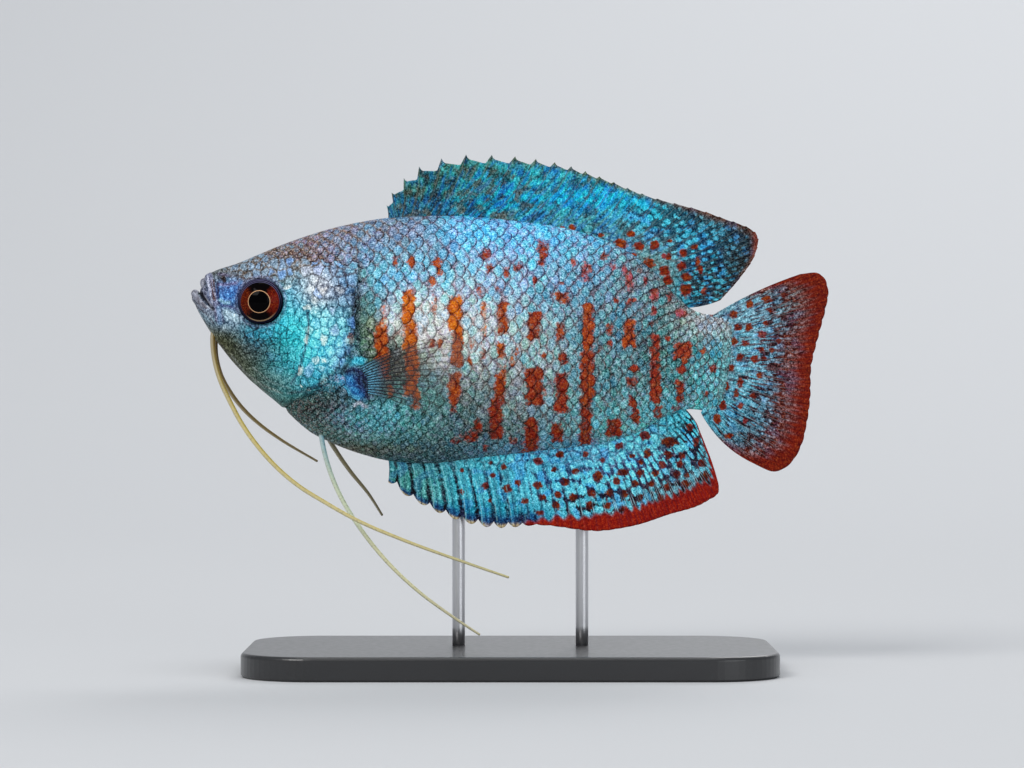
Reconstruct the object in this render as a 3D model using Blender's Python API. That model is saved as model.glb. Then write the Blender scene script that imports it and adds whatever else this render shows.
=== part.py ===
"""Male dwarf gourami at life size, swimming slightly head up, on a plain display stand.

Frame: the origin is the middle of the stand's underside, +Z is up, the head points to -X, the tail
to +X and the fish's own left side to -Y. Every length below is in millimetres and every outline
point is (x, z) or (x, y, z); mesh_object() turns them into metres. Angles are in radians.
"""

import math

import bmesh
import bpy
import numpy as np
from mathutils import Matrix

MM = 0.001
GAP = 0.3  # left between two nodes that touch

# Body in side view. The trunk runs from the snout to the root of the tail fin.
BACK = [
    (-39.8, 47.3), (-39.3, 48.4), (-38.0, 49.4), (-33.9, 51.0), (-28.9, 53.1), (-22.6, 55.2),
    (-16.0, 56.5), (-9.0, 56.9), (1.2, 56.2), (8.0, 55.1), (13.0, 53.4), (16.2, 51.4),
    (20.2, 46.9), (21.8, 45.3), (23.6, 44.6), (26.2, 44.6),
]
BELLY = [
    (-39.8, 46.3), (-38.8, 44.4), (-37.0, 41.5), (-33.0, 36.7), (-28.9, 33.2), (-24.9, 29.7),
    (-22.5, 28.5), (-16.3, 26.4), (-11.0, 25.8), (-3.8, 26.5), (6.2, 27.6), (11.2, 28.2),
    (16.2, 29.7), (19.3, 31.3), (22.0, 32.5), (24.0, 32.6), (26.2, 32.0),
]
# (x, half width), and the exponents that set how keeled the section is above and below its middle.
HALF_WIDTH = [
    (-39.8, 0.7), (-39.0, 1.5), (-38.0, 2.1), (-35.0, 3.25), (-31.1, 4.3), (-27.6, 5.1),
    (-23.8, 5.7), (-19.0, 6.1), (-12.0, 6.2), (-5.0, 5.9), (2.0, 5.3), (8.0, 4.6), (14.0, 3.7),
    (19.0, 2.8), (22.5, 2.2), (26.2, 1.1),
]
KEEL_ABOVE = [(-39.8, 0.9), (-30.0, 0.95), (-16.0, 1.15), (10.0, 1.25), (26.2, 1.0)]
KEEL_BELOW = [(-39.8, 0.9), (-30.0, 1.05), (-16.0, 1.2), (10.0, 1.35), (26.2, 1.0)]
RING_POINTS = 32

# Gill slit, from the nape down and forwards under the throat: the head ends here.
GILL_LINE = [
    (-17.4, 59.0), (-18.2, 52.9), (-18.9, 48.7), (-19.1, 44.4), (-19.2, 40.9), (-20.2, 38.6),
    (-22.0, 36.4), (-24.4, 34.8), (-27.3, 33.6), (-29.8, 31.8),
]
# Front and top edges of the gill cover, from the throat up and back; its rear edge is the slit.
COVER_EDGE = [
    (-28.5, 32.0), (-28.3, 33.8), (-27.6, 36.1), (-26.3, 38.8), (-25.6, 41.9), (-25.6, 45.1),
    (-25.6, 47.3), (-24.3, 48.7), (-22.0, 49.3), (-19.4, 49.0), (-16.8, 47.9),
]
COVER_RISE = 0.4  # how far its rear edge stands proud of the shoulder
COVER_DEPTH = 0.7  # how far it reaches below the head's surface
COVER_INNER_Y = 1.2  # the two covers stop this far from the midline

STALK_FROM = 22.3  # the tail stalk starts where the dorsal and anal fins end
STALK_TO = 25.4
STALK_LEAN = 0.12  # its sections lean back this much for each millimetre above the middle
STALK_BULGE = 1.2  # and its end is rounded this far towards the tail fin

MOUTH_GAPE = [(-41.5, 50.0), (-38.7, 49.3), (-38.4, 47.9), (-37.9, 46.7), (-37.1, 45.4),
              (-38.4, 45.9), (-39.1, 46.7), (-39.6, 47.7), (-41.5, 48.0)]
UPPER_LIP = [(-38.3, 0.0, 48.5), (-38.1, 0.9, 47.9), (-37.7, 1.7, 46.8), (-37.0, 2.2, 45.4)]
LOWER_LIP = [(-39.45, 0.0, 47.1), (-39.15, 0.9, 46.7), (-38.35, 1.6, 45.8), (-37.1, 2.1, 44.9)]
UPPER_LIP_RADIUS = (0.58, 0.28)  # at the front and at the corner of the mouth
LOWER_LIP_RADIUS = (0.55, 0.28)

EYE_CENTRE = (-31.3, 46.2)
EYE_RADIUS = 2.95
EYE_HALF_DEPTH = 1.75
EYE_SUNK = 0.85  # its middle lies this far under the cheek
EYE_TURN = 0.17  # it looks a little forwards
NOSTRIL = (-35.7, 49.0)
NOSTRIL_RADIUS = 0.42

# Fins: where the rays leave the body, and (share of the rays, x, z) of their tips.
DORSAL_SPINES = 17
DORSAL_SOFT_RAYS = 8
DORSAL_BASE_X = [(0.0, -15.3), (0.12, -12.8), (0.66, 12.5), (1.0, 21.9)]
DORSAL_TIPS = [
    (0.0, -15.5, 58.2), (0.04, -14.9, 59.7), (0.08, -13.5, 61.4), (0.12, -11.8, 62.8),
    (0.2, -6.6, 64.4), (0.28, -0.9, 64.4), (0.4, 6.1, 63.5), (0.52, 11.5, 61.7),
    (0.64, 17.5, 59.3), (0.76, 26.0, 56.8), (0.84, 31.0, 54.3), (0.88, 30.7, 52.1),
    (0.94, 28.7, 49.0), (1.0, 26.3, 46.3),
]
DORSAL_NOTCH = [(0.0, 0.5), (0.12, 0.14), (0.4, 0.08), (0.7, 0.0), (1.0, 0.0)]

ANAL_SPINES = 17
ANAL_SOFT_RAYS = 13
ANAL_BASE_X = [(0.0, -15.3), (0.56, 10.6), (1.0, 21.5)]
ANAL_TIPS = [
    (0.0, -15.3, 23.5), (0.035, -13.2, 21.9), (0.07, -11.1, 20.7), (0.14, -7.1, 18.9),
    (0.21, -3.1, 17.9), (0.35, 4.2, 18.1), (0.48, 11.2, 17.4), (0.55, 14.7, 17.9),
    (0.69, 19.7, 19.4), (0.83, 24.6, 21.1), (0.88, 26.1, 22.3), (0.93, 25.6, 25.0),
    (1.0, 23.4, 30.8),
]
ANAL_NOTCH = [(0.0, 0.4), (0.15, 0.22), (0.4, 0.08), (0.6, 0.0), (1.0, 0.0)]

CAUDAL_RAYS = 15
CAUDAL_ROOT_Z = (44.3, 32.4)
CAUDAL_TIPS = [
    (0.0, 37.0, 49.6), (0.07, 38.9, 49.2), (0.14, 39.8, 47.8), (0.21, 39.6, 45.8),
    (0.34, 38.7, 42.0), (0.48, 37.6, 38.0), (0.62, 37.2, 34.0), (0.76, 36.9, 30.2),
    (0.88, 35.7, 27.1), (0.94, 34.6, 25.6), (1.0, 32.9, 25.0),
]

PECTORAL_RAYS = 10
PECTORAL_ROOT = [(-18.3, 37.9), (-17.5, 36.2), (-17.8, 34.2)]
PECTORAL_TIPS = [
    (0.0, -6.7, 42.3), (0.17, -5.8, 41.0), (0.34, -5.7, 39.1), (0.5, -6.2, 37.0),
    (0.67, -7.1, 35.0), (0.84, -8.4, 33.1), (1.0, -9.8, 31.7),
]
PECTORAL_SPREAD = 0.24  # how far it stands out from the flank, for each millimetre of its length

# Thread-like fins of the fish's left side (-Y), then of its right side, root first.
CHIN_FEELER_LEFT = [
    (-37.1, -0.5, 42.8), (-37.2, -0.8, 41.6), (-36.9, -1.5, 38.8), (-36.1, -2.4, 36.2),
    (-34.9, -3.2, 33.7), (-33.4, -4.0, 31.0), (-30.9, -4.8, 27.6), (-28.4, -5.3, 25.0),
    (-25.9, -5.6, 23.0), (-23.3, -5.8, 21.4), (-18.8, -6.0, 18.9), (-13.4, -6.1, 16.6),
    (-6.0, -6.0, 13.9), (-0.2, -5.8, 11.9),
]
CHIN_FEELER_RIGHT = [
    (-36.8, 0.5, 42.4), (-37.0, 0.8, 40.9), (-36.5, 2.0, 37.2), (-35.3, 3.6, 34.7),
    (-33.8, 5.2, 32.6), (-31.9, 6.8, 30.7), (-29.4, 8.2, 28.8), (-24.7, 10.0, 25.9),
]
BELLY_FEELER_LEFT = [
    (-23.9, -0.7, 31.2), (-23.7, -0.9, 29.8), (-23.4, -1.2, 28.1), (-22.5, -1.8, 24.9),
    (-21.2, -2.4, 21.9), (-18.7, -3.2, 17.9), (-15.0, -3.8, 13.4), (-11.2, -4.1, 9.9),
    (-7.4, -4.2, 7.1), (-3.8, -4.2, 4.7),
]
BELLY_FEELER_RIGHT = [
    (-23.2, 0.7, 31.0), (-22.9, 0.9, 29.3), (-21.8, 2.1, 27.2), (-20.3, 3.7, 24.9),
    (-17.8, 5.9, 21.6), (-16.3, 7.2, 19.1),
]
FEELER_RADIUS = (0.32, 0.26, 0.15)  # at the root, the middle and the tip
FEELER_SIDES = 6

# Stand.
STAND_SIZE = (66.0, 38.0, 3.0)
STAND_CORNER = 9.0
STAND_CHAMFER = 0.5
ROD_RADIUS = 0.8
ROD_Y = 1.9  # behind the anal fin, under the thick of the body
ROD_X = (-6.5, 9.0)
ROD_INTO_BODY = 4.0
ROD_SIDES = 14

FLESH = ("flesh", (0.30, 0.56, 0.68), 0.38, 0.0)
COVER = ("gill_cover", (0.20, 0.62, 0.74), 0.32, 0.0)
FIN_BLUE = ("fin_blue", (0.10, 0.52, 0.70), 0.4, 0.0)
FIN_RED = ("fin_red", (0.60, 0.16, 0.10), 0.4, 0.0)
FIN_CLEAR = ("fin_clear", (0.42, 0.55, 0.58), 0.35, 0.0)
EYE = ("eye", (0.06, 0.03, 0.03), 0.08, 0.0)
FEELER = ("feeler", (0.72, 0.66, 0.40), 0.45, 0.0)
STAND_BLACK = ("stand_black", (0.03, 0.03, 0.035), 0.35, 0.0)
STEEL = ("steel", (0.72, 0.72, 0.74), 0.25, 1.0)


# ---------------------------------------------------------------- curves

def smooth(control, at):
    """Value at each `at` of the cubic through `control`, whose rows are (knot, value, ...)."""
    control = np.asarray(control, float)
    knots, values = control[:, 0], control[:, 1:]
    steps = np.diff(knots)[:, None]
    slopes = np.diff(values, axis=0) / steps
    tangents = np.vstack([slopes[:1], slopes, ])
    tangents[1:-1] = (slopes[:-1] * steps[1:] + slopes[1:] * steps[:-1]) / (steps[1:] + steps[:-1])
    at = np.clip(np.asarray(at, float), knots[0], knots[-1])
    i = np.clip(np.searchsorted(knots, at, side="right") - 1, 0, len(steps) - 1)
    step = steps[i]
    t = ((at - knots[i]) / step[..., 0])[..., None]
    found = (values[i] * (1 + 2 * t) * (1 - t) ** 2 + tangents[i] * step * t * (1 - t) ** 2
             + values[i + 1] * t * t * (3 - 2 * t) - tangents[i + 1] * step * t * t * (1 - t))
    return found[..., 0] if values.shape[1] == 1 else found


def smooth_path(points, count):
    """`count` points along the smooth curve through `points`, evenly spread by length."""
    points = np.asarray(points, float)
    run = np.concatenate([[0.0], np.cumsum(np.linalg.norm(np.diff(points, axis=0), axis=1))])
    return smooth(np.column_stack([run, points]), np.linspace(0.0, run[-1], count))


def beside(line, distance):
    """An (x, z) line moved sideways, to the left of its direction, by `distance`."""
    along = np.gradient(line, axis=0)
    along /= np.linalg.norm(along, axis=1, keepdims=True)
    return line + distance * np.column_stack([-along[:, 1], along[:, 0]])


# ---------------------------------------------------------------- the body's surface

def section(x):
    """Middle height, half height and half width of the body at x."""
    top, bottom = smooth(BACK, x), smooth(BELLY, x)
    return (top + bottom) / 2, (top - bottom) / 2, smooth(HALF_WIDTH, x)


def body_half_width(x, z):
    """Half width of the body at the point (x, z) of its side view."""
    middle, half_height, half_width = section(x)
    level = np.clip((z - middle) / half_height, -1, 1)
    keel = np.where(level > 0, smooth(KEEL_ABOVE, x), smooth(KEEL_BELOW, x))
    return half_width * (1 - level ** 2) ** (keel / 2)


def body_rings(stations, grow=0.0, rise=0.0):
    """Rings of points round the body, one at each station: y = w |cos a|^keel, z = middle + h sin a.

    `grow` moves the surface out all round; `rise` widens the section towards the gill slit."""
    stations = np.asarray(stations, float)[:, None]
    angle = np.linspace(0, 2 * math.pi, RING_POINTS, endpoint=False)[None, :]
    middle, half_height, half_width = section(stations)
    front, rear = -26.0, -19.5
    share = np.clip((stations - front) / (rear - front), 0, 1)
    half_width = half_width + grow + rise * share * share * (3 - 2 * share)
    keel = np.where(np.sin(angle) > 0, smooth(KEEL_ABOVE, stations), smooth(KEEL_BELOW, stations))
    y = half_width * np.sign(np.cos(angle)) * np.abs(np.cos(angle)) ** keel
    lift = (half_height + grow) * np.sin(angle)
    x = stations + lift * STALK_LEAN * np.clip((stations - 16.0) / 6.0, 0, 1)
    into_stalk = np.clip((stations - STALK_FROM) / (STALK_TO - STALK_FROM), 0, 1)
    x = x + STALK_BULGE * into_stalk * np.cos(angle) ** 2
    return np.stack([x, y, middle + lift], axis=-1)


def stalk_end_x(z):
    """x of the tail stalk's rounded end at height z."""
    middle, half_height, _ = section(STALK_TO)
    level = (z - middle) / half_height
    return STALK_TO + STALK_LEAN * (z - middle) + STALK_BULGE * (1 - level ** 2)


# ---------------------------------------------------------------- meshes

def material(name, colour, roughness, metallic):
    """The Principled material of that name, made the first time it is asked for."""
    found = bpy.data.materials.get(name)
    if found is None:
        found = bpy.data.materials.new(name)
        found.use_nodes = True
        shader = found.node_tree.nodes["Principled BSDF"]
        shader.inputs["Base Color"].default_value = (*colour, 1.0)
        shader.inputs["Roughness"].default_value = roughness
        shader.inputs["Metallic"].default_value = metallic
        found.diffuse_color = (*colour, 1.0)
    return found


def mesh_object(name, points, faces, finish=FLESH):
    """A mesh object from points in millimetres, with its faces turned outwards."""
    mesh = bpy.data.meshes.new(name)
    mesh.from_pydata((np.asarray(points, float) * MM).tolist(), [], faces)
    solid = bmesh.new()
    solid.from_mesh(mesh)
    bmesh.ops.recalc_face_normals(solid, faces=solid.faces)
    solid.to_mesh(mesh)
    solid.free()
    mesh.materials.append(material(*finish))
    made = bpy.data.objects.new(name, mesh)
    bpy.context.scene.collection.objects.link(made)
    return made


def closed_tube(name, rings, finish=FLESH):
    """A closed tube through rings of equal size, with a fan over each end."""
    count, around = rings.shape[:2]
    points = np.vstack([rings.reshape(-1, 3), rings[0].mean(0), rings[-1].mean(0)])
    first, last = count * around, count * around + 1
    faces = []
    for a in range(around):
        b = (a + 1) % around
        for ring in range(count - 1):
            low, high = ring * around, (ring + 1) * around
            faces.append((low + a, low + b, high + b, high + a))
        faces.append((first, b, a))
        faces.append((last, (count - 1) * around + a, (count - 1) * around + b))
    return mesh_object(name, points, faces, finish)


def prism(name, profile, y_from, y_to):
    """A closed prism of an (x, z) profile between two values of y."""
    profile = np.asarray(profile, float)
    count = len(profile)
    sides = [np.insert(profile, 1, y, axis=1) for y in (y_from, y_to)]
    faces = [tuple(range(count)), tuple(range(2 * count - 1, count - 1, -1))]
    faces += [(i, (i + 1) % count, count + (i + 1) % count, count + i) for i in range(count)]
    return mesh_object(name, np.vstack(sides), faces)


def ellipsoid(name, radii, place, segments=20, rings=12, finish=EYE):
    """A closed ellipsoid with its poles along its own Y axis, placed by a matrix in millimetres."""
    solid = bmesh.new()
    bmesh.ops.create_uvsphere(solid, u_segments=segments, v_segments=rings, radius=1.0)
    poles_to_y = Matrix.Rotation(math.pi / 2, 4, "X")
    bmesh.ops.transform(solid, matrix=place @ Matrix.Diagonal((*radii, 1.0)) @ poles_to_y,
                        verts=solid.verts)
    points = [tuple(vertex.co) for vertex in solid.verts]
    faces = [[vertex.index for vertex in face.verts] for face in solid.faces]
    solid.free()
    return mesh_object(name, points, faces, finish)


def swept(name, path, radii, sides, finish):
    """A closed round tube along a 3-D path, with a radius at each of its points."""
    along = np.gradient(path, axis=0)
    along /= np.linalg.norm(along, axis=1, keepdims=True)
    side = np.cross(along[0], (0.0, 0.0, 1.0) if abs(along[0][2]) < 0.9 else (1.0, 0.0, 0.0))
    angle = np.linspace(0, 2 * math.pi, sides, endpoint=False)[:, None]
    rings = []
    for point, direction, radius in zip(path, along, radii):
        side = side - direction * (side @ direction)
        side /= np.linalg.norm(side)
        up = np.cross(direction, side)
        rings.append(point + radius * (np.cos(angle) * side + np.sin(angle) * up))
    return closed_tube(name, np.array(rings), finish)


def mirrored(source, name):
    """A copy of an object on the other side of the fish."""
    made = source.copy()
    made.data = source.data.copy()
    made.name = name
    made.data.transform(Matrix.Scale(-1, 4, (0, 1, 0)))
    made.data.flip_normals()
    bpy.context.scene.collection.objects.link(made)
    return made


def discard(*objects):
    for unwanted in objects:
        bpy.data.objects.remove(unwanted)


def apply_modifiers(solid):
    """Bakes the modifiers into the mesh and keeps only its largest closed surface."""
    graph = bpy.context.evaluated_depsgraph_get()
    solid.data = bpy.data.meshes.new_from_object(solid.evaluated_get(graph))
    solid.modifiers.clear()
    surface = bmesh.new()
    surface.from_mesh(solid.data)
    unseen, shells = set(surface.faces), []
    while unseen:
        shell, front = set(), [unseen.pop()]
        while front:
            face = front.pop()
            shell.add(face)
            near = {other for edge in face.edges for other in edge.link_faces} & unseen
            unseen -= near
            front.extend(near)
        shells.append(shell)
    shells.sort(key=lambda shell: sum(face.calc_area() for face in shell))
    for shell in shells[:-1]:
        bmesh.ops.delete(surface, geom=list(shell), context="FACES")
    surface.to_mesh(solid.data)
    surface.free()


def boolean(solid, tool, operation):
    """Cuts one solid by another, or keeps what they share."""
    modifier = solid.modifiers.new(operation.title(), "BOOLEAN")
    modifier.operation = operation
    modifier.solver = "EXACT"
    modifier.object = tool
    apply_modifiers(solid)


def fused(name, pieces):
    """One closed solid from overlapping closed pieces, named after the first."""
    group = bpy.data.collections.new(name + "_pieces")
    for piece in pieces[1:]:
        group.objects.link(piece)
    modifier = pieces[0].modifiers.new("Union", "BOOLEAN")
    modifier.operation = "UNION"
    modifier.solver = "EXACT"
    modifier.operand_type = "COLLECTION"
    modifier.collection = group
    apply_modifiers(pieces[0])
    discard(*pieces[1:])
    bpy.data.collections.remove(group)
    pieces[0].name = name
    return pieces[0]


# ---------------------------------------------------------------- head, gill covers and trunk

def gill_prism(shift):
    """All that lies in front of the gill slit, with the slit moved back by `shift`."""
    slit = beside(smooth_path(GILL_LINE, 26), shift)
    return prism("gill_prism", np.vstack([slit, [(-45.0, 30.0), (-45.0, 60.0)]]), -12.0, 12.0)


def cover_prism(name, shift, inner_y):
    """The outline of the left gill cover, moved out by `shift` and open towards the slit."""
    edge = beside(smooth_path(COVER_EDGE, 24), shift)
    behind = [(-12.0, edge[-1, 1]), (-12.0, 30.0), (edge[0, 0], 30.0)]
    return prism(name, np.vstack([edge, behind]), -12.0, inner_y)


def gill_cover(finish):
    """The left gill cover: a curved plate whose rear edge stands proud along the slit."""
    cover = closed_tube("gill_cover_left", body_rings(np.linspace(-31, -16, 16), rise=COVER_RISE),
                        finish)
    tools = [
        (gill_prism(0.0), "INTERSECT"),
        (cover_prism("cover_edge", 0.0, -COVER_INNER_Y), "INTERSECT"),
        (closed_tube("under_cover", body_rings(np.linspace(-34, -13, 15), grow=-COVER_DEPTH)),
         "DIFFERENCE"),
    ]
    for tool, operation in tools:
        boolean(cover, tool, operation)
    discard(*[tool for tool, _ in tools])
    return cover


def cover_pocket():
    """The space in the left side of the head that the gill cover lies in, with its gap."""
    pocket = cover_prism("cover_pocket", GAP, -COVER_INNER_Y + GAP)
    floor = closed_tube("pocket_floor",
                        body_rings(np.linspace(-34, -13, 15), grow=-COVER_DEPTH - GAP))
    boolean(pocket, floor, "DIFFERENCE")
    discard(floor)
    return pocket


def eye_place(side):
    """Matrix that puts a shape at the eye, looking out to that side (-1 left, 1 right)."""
    x, z = EYE_CENTRE
    depth = float(body_half_width(x, z)) - EYE_SUNK
    turn = Matrix.Rotation(-side * -EYE_TURN, 4, "Z")
    return Matrix.Translation((x, side * depth, z)) @ turn


def lip(name, half, radii):
    """A lip that runs round the front of the mouth from corner to corner."""
    half = np.array(half)
    whole = np.vstack([half[:0:-1] * (1, -1, 1), half])
    path = smooth_path(whole, 17)
    to_corner = np.abs(np.linspace(-1, 1, 17))
    return swept(name, path, radii[0] + (radii[1] - radii[0]) * to_corner, 8, FLESH)


def head():
    """Head with its lips, gaping mouth, nostrils, eye sockets and the pockets for the covers."""
    stations = np.concatenate([np.linspace(-39.8, -37.6, 6)[:-1], np.linspace(-37.6, -16.5, 19)])
    skull = closed_tube("head", body_rings(stations))
    jaws = prism("mouth_gape", MOUTH_GAPE, -6.0, 6.0)
    boolean(skull, jaws, "DIFFERENCE")
    front = gill_prism(0.0)
    boolean(skull, front, "INTERSECT")
    discard(jaws, front)
    lips = [lip("upper_lip", UPPER_LIP, UPPER_LIP_RADIUS),
            lip("lower_lip", LOWER_LIP, LOWER_LIP_RADIUS)]
    skull = fused("head", [skull, *lips])
    pocket = cover_pocket()
    cutters = [pocket, mirrored(pocket, "cover_pocket_right")]
    for side in (-1, 1):
        socket = (EYE_RADIUS + GAP, EYE_HALF_DEPTH + GAP, EYE_RADIUS + GAP)
        cutters.append(ellipsoid("eye_socket", socket, eye_place(side)))
        x, z = NOSTRIL
        place = Matrix.Translation((x, side * float(body_half_width(x, z)), z))
        cutters.append(ellipsoid("nostril", (NOSTRIL_RADIUS,) * 3, place, 8, 6))
    for cutter in cutters:
        boolean(skull, cutter, "DIFFERENCE")
    discard(*cutters)
    return skull


def torso():
    """Trunk from the gill slit to the tail stalk."""
    trunk = closed_tube("torso", body_rings(np.linspace(-30.5, STALK_FROM - GAP / 2, 25)))
    front = gill_prism(GAP)
    boolean(trunk, front, "DIFFERENCE")
    discard(front)
    return trunk


def clearance_body():
    """The whole body grown by the gap, which trims whatever grows from it."""
    stations = np.concatenate([np.linspace(-39.8, -37.6, 6)[:-1], np.linspace(-37.6, STALK_TO, 40)])
    return closed_tube("clearance_body", body_rings(stations, grow=GAP))


# ---------------------------------------------------------------- fins

def ray_lines(roots, tips, rows, bow=0.0, reach=1.0):
    """Centre line of each ray, as (rays, rows, 2): root to tip, bowed by a share of its length."""
    t = (np.linspace(0, 1, rows)[None, :] * np.reshape(reach, (-1, 1)))[..., None]
    chord = (tips - roots)[:, None, :]
    across = np.stack([-chord[..., 1], chord[..., 0]], axis=-1)
    return roots[:, None] + chord * t + across * (4 * bow * t * (1 - t))


def fin_columns(rays, webs, half_ray, split):
    """Columns of a fin from front to rear, and how much each is ridge (1) or web (0) by row.

    Every ray gives a foot, a crest and a foot. Where `split` says how far its two branches part,
    it gives a crest for each branch and a line between them that sinks into the web."""
    along = np.gradient(rays, axis=1)
    along /= np.linalg.norm(along, axis=2, keepdims=True)
    across = np.stack([-along[..., 1], along[..., 0]], axis=-1)
    if len(rays) > 1 and np.sum((rays[1:] - rays[:-1]) * across[:-1]) < 0:
        across = -across
    rows = rays.shape[1]
    crest, flat = np.ones(rows), np.zeros(rows)
    columns, ridges = [], []
    for number, ray in enumerate(rays):
        aside = across[number]
        part = split[number][:, None]
        foot = part + half_ray[:, None]
        forked = part[-1, 0] > 0
        offsets = [-foot, -part, 0 * part, part, foot] if forked else [-foot, 0 * foot, foot]
        between = np.where(split[number] > 0.15, 0.0, 1.0)
        kinds = [flat, crest, between, crest, flat] if forked else [flat, crest, flat]
        columns += [ray + offset * aside for offset in offsets]
        ridges += kinds
        if number < len(webs) and webs[number] is not None:
            columns.append(webs[number])
            ridges.append(flat)
    return np.array(columns), np.array(ridges)


def fin(name, columns, ridges, across_y, web_half, ridge_height, finish):
    """A closed membrane with its rays as ridges: two alike faces at y = across_y +- thickness."""
    count, rows = ridges.shape
    half = web_half[None, :] + ridges * ridge_height[None, :]
    left = np.stack([columns[..., 0], across_y - half, columns[..., 1]], axis=-1)
    right = np.stack([columns[..., 0], across_y + half, columns[..., 1]], axis=-1)
    points = np.vstack([left.reshape(-1, 3), right.reshape(-1, 3)])
    other = count * rows
    faces = []
    for c in range(count - 1):
        for r in range(rows - 1):
            a, b, d, e = c * rows + r, (c + 1) * rows + r, c * rows + r + 1, (c + 1) * rows + r + 1
            pair = [(a, b, e), (a, e, d)] if (c + r) % 2 else [(a, b, d), (b, e, d)]
            faces += pair
            faces += [tuple(other + i for i in reversed(face)) for face in pair]
    rim = [c * rows for c in range(count)]
    rim += [(count - 1) * rows + r for r in range(1, rows)]
    rim += [c * rows + rows - 1 for c in range(count - 2, -1, -1)]
    rim += [r for r in range(rows - 2, 0, -1)]
    for a, b in zip(rim, rim[1:] + rim[:1]):
        faces += [(a, other + a, b), (b, other + a, other + b)]
    return mesh_object(name, points, faces, finish)


def fading(start, end, rows, power=1.0):
    """A value for each row that goes from start at the root to end at the tip."""
    return end + (start - end) * (1 - np.linspace(0, 1, rows)) ** power


def spiny_fin(name, sign, base_x, tips, notch, spines, soft_rays, rows, bow, sway, finish):
    """A fin along the back or the belly: spines with notched webs, then soft rays."""
    count = spines + soft_rays
    share = np.linspace(0, 1, count)
    midline = RING_POINTS // 4 if sign > 0 else 3 * RING_POINTS // 4
    skin = body_rings(np.linspace(base_x[0][1] - 3, STALK_TO, 300))[:, midline, ::2]
    skin = beside(skin, sign * GAP)

    def line(at, reach):
        x = smooth(base_x, at)
        root = np.column_stack([x, np.interp(x, skin[:, 0], skin[:, 1])])
        return ray_lines(root, smooth(tips, at), rows, bow, reach)

    rays = line(share, np.ones(count))
    middle = (share[1:] + share[:-1]) / 2
    webs = list(line(middle, 1 - smooth(notch, middle)))
    webs[spines:] = [None] * (count - 1 - spines)
    half_ray = fading(0.26, 0.12, rows)
    columns, ridges = fin_columns(rays, webs, half_ray, np.zeros((count, rows)))
    clear = np.interp(columns[..., 0], skin[:, 0], skin[:, 1])
    columns[..., 1] = sign * np.maximum(sign * columns[..., 1], sign * clear)
    across_y = sway * np.linspace(0, 1, rows)[None, :] ** 2 * np.sin(columns[:, :, 0] / 5.5)
    return fin(name, columns, ridges, across_y, fading(0.5, 0.22, rows, 3),
               fading(0.2, 0.1, rows), finish)


def caudal_fin():
    """Tail fin: branched rays that fan out from the rounded end of the stalk."""
    rows = 7
    share = np.linspace(0, 1, CAUDAL_RAYS)
    root_z = CAUDAL_ROOT_Z[0] + (CAUDAL_ROOT_Z[1] - CAUDAL_ROOT_Z[0]) * share
    roots = np.column_stack([stalk_end_x(root_z) + GAP, root_z])
    bow = 0.05 * (0.5 - share)[:, None, None]
    rays = ray_lines(roots, smooth(CAUDAL_TIPS, share), rows, bow)
    along = np.linspace(0, 1, rows)
    split = np.tile(0.04 + 0.42 * np.clip((along - 0.35) / 0.65, 0, 1), (CAUDAL_RAYS, 1))
    split[[0, -1]] = 0.0
    columns, ridges = fin_columns(rays, [], fading(0.2, 0.12, rows), split)
    across_y = 0.9 * along[None, :] ** 2 * np.sin((columns[:, :, 1] - 38.0) / 5.0)
    return fin("caudal_fin", columns, ridges, across_y, fading(0.7, 0.22, rows, 3),
               fading(0.16, 0.1, rows), FIN_RED)


def pectoral_fin(body):
    """Left breast fin: a fan of fine rays that stands out from the flank behind the gill cover."""
    rows = 6
    share = np.linspace(0, 1, PECTORAL_RAYS)
    rays = ray_lines(smooth_path(PECTORAL_ROOT, PECTORAL_RAYS), smooth(PECTORAL_TIPS, share), rows,
                     0.04)
    columns, ridges = fin_columns(rays, [], fading(0.1, 0.14, rows), np.zeros((len(rays), rows)))
    behind = columns[:, :, 0] - PECTORAL_ROOT[0][0]
    cupped = 0.5 * np.sin(np.linspace(0, math.pi, len(columns)))[:, None]
    root_y = body_half_width(columns[:, :1, 0], columns[:, :1, 1])
    across_y = -root_y - PECTORAL_SPREAD * behind - cupped * np.linspace(0, 1, rows)
    made = fin("pectoral_fin_left", columns, ridges, across_y, fading(0.95, 0.24, rows, 4),
               fading(0.16, 0.1, rows), FIN_CLEAR)
    boolean(made, body, "DIFFERENCE")
    return made


def feeler(name, route, body):
    """A thread-like fin that tapers to its tip, trimmed where it leaves the body."""
    length = np.linalg.norm(np.diff(np.array(route), axis=0), axis=1).sum()
    count = int(np.clip(length / 1.8, 12, 26))
    path = smooth_path(route, count)
    profile = [(0.0, FEELER_RADIUS[0]), (0.5, FEELER_RADIUS[1]), (1.0, FEELER_RADIUS[2])]
    radii = smooth(profile, np.linspace(0, 1, count))
    made = swept(name, path, radii, FEELER_SIDES, FEELER)
    boolean(made, body, "DIFFERENCE")
    return made


# ---------------------------------------------------------------- stand

def stand_base():
    """Flat plate with rounded corners and a chamfered upper edge."""
    length, depth, height = STAND_SIZE
    corner = np.linspace(0, math.pi / 2, 7)
    outline = []
    for quarter, (sx, sy) in enumerate([(1, 1), (-1, 1), (-1, -1), (1, -1)]):
        angle = corner + quarter * math.pi / 2
        centre = np.array([sx * (length / 2 - STAND_CORNER), sy * (depth / 2 - STAND_CORNER)])
        outline.append(centre + STAND_CORNER * np.column_stack([np.cos(angle), np.sin(angle)]))
    outline = np.vstack(outline)
    shrink = 1 - 2 * STAND_CHAMFER / np.array([length, depth])
    rings = [np.column_stack([outline * size, np.full(len(outline), z)])
             for size, z in ((1, 0.0), (1, height - STAND_CHAMFER), (shrink, height))]
    return closed_tube("stand_base", np.array(rings), STAND_BLACK)


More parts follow.
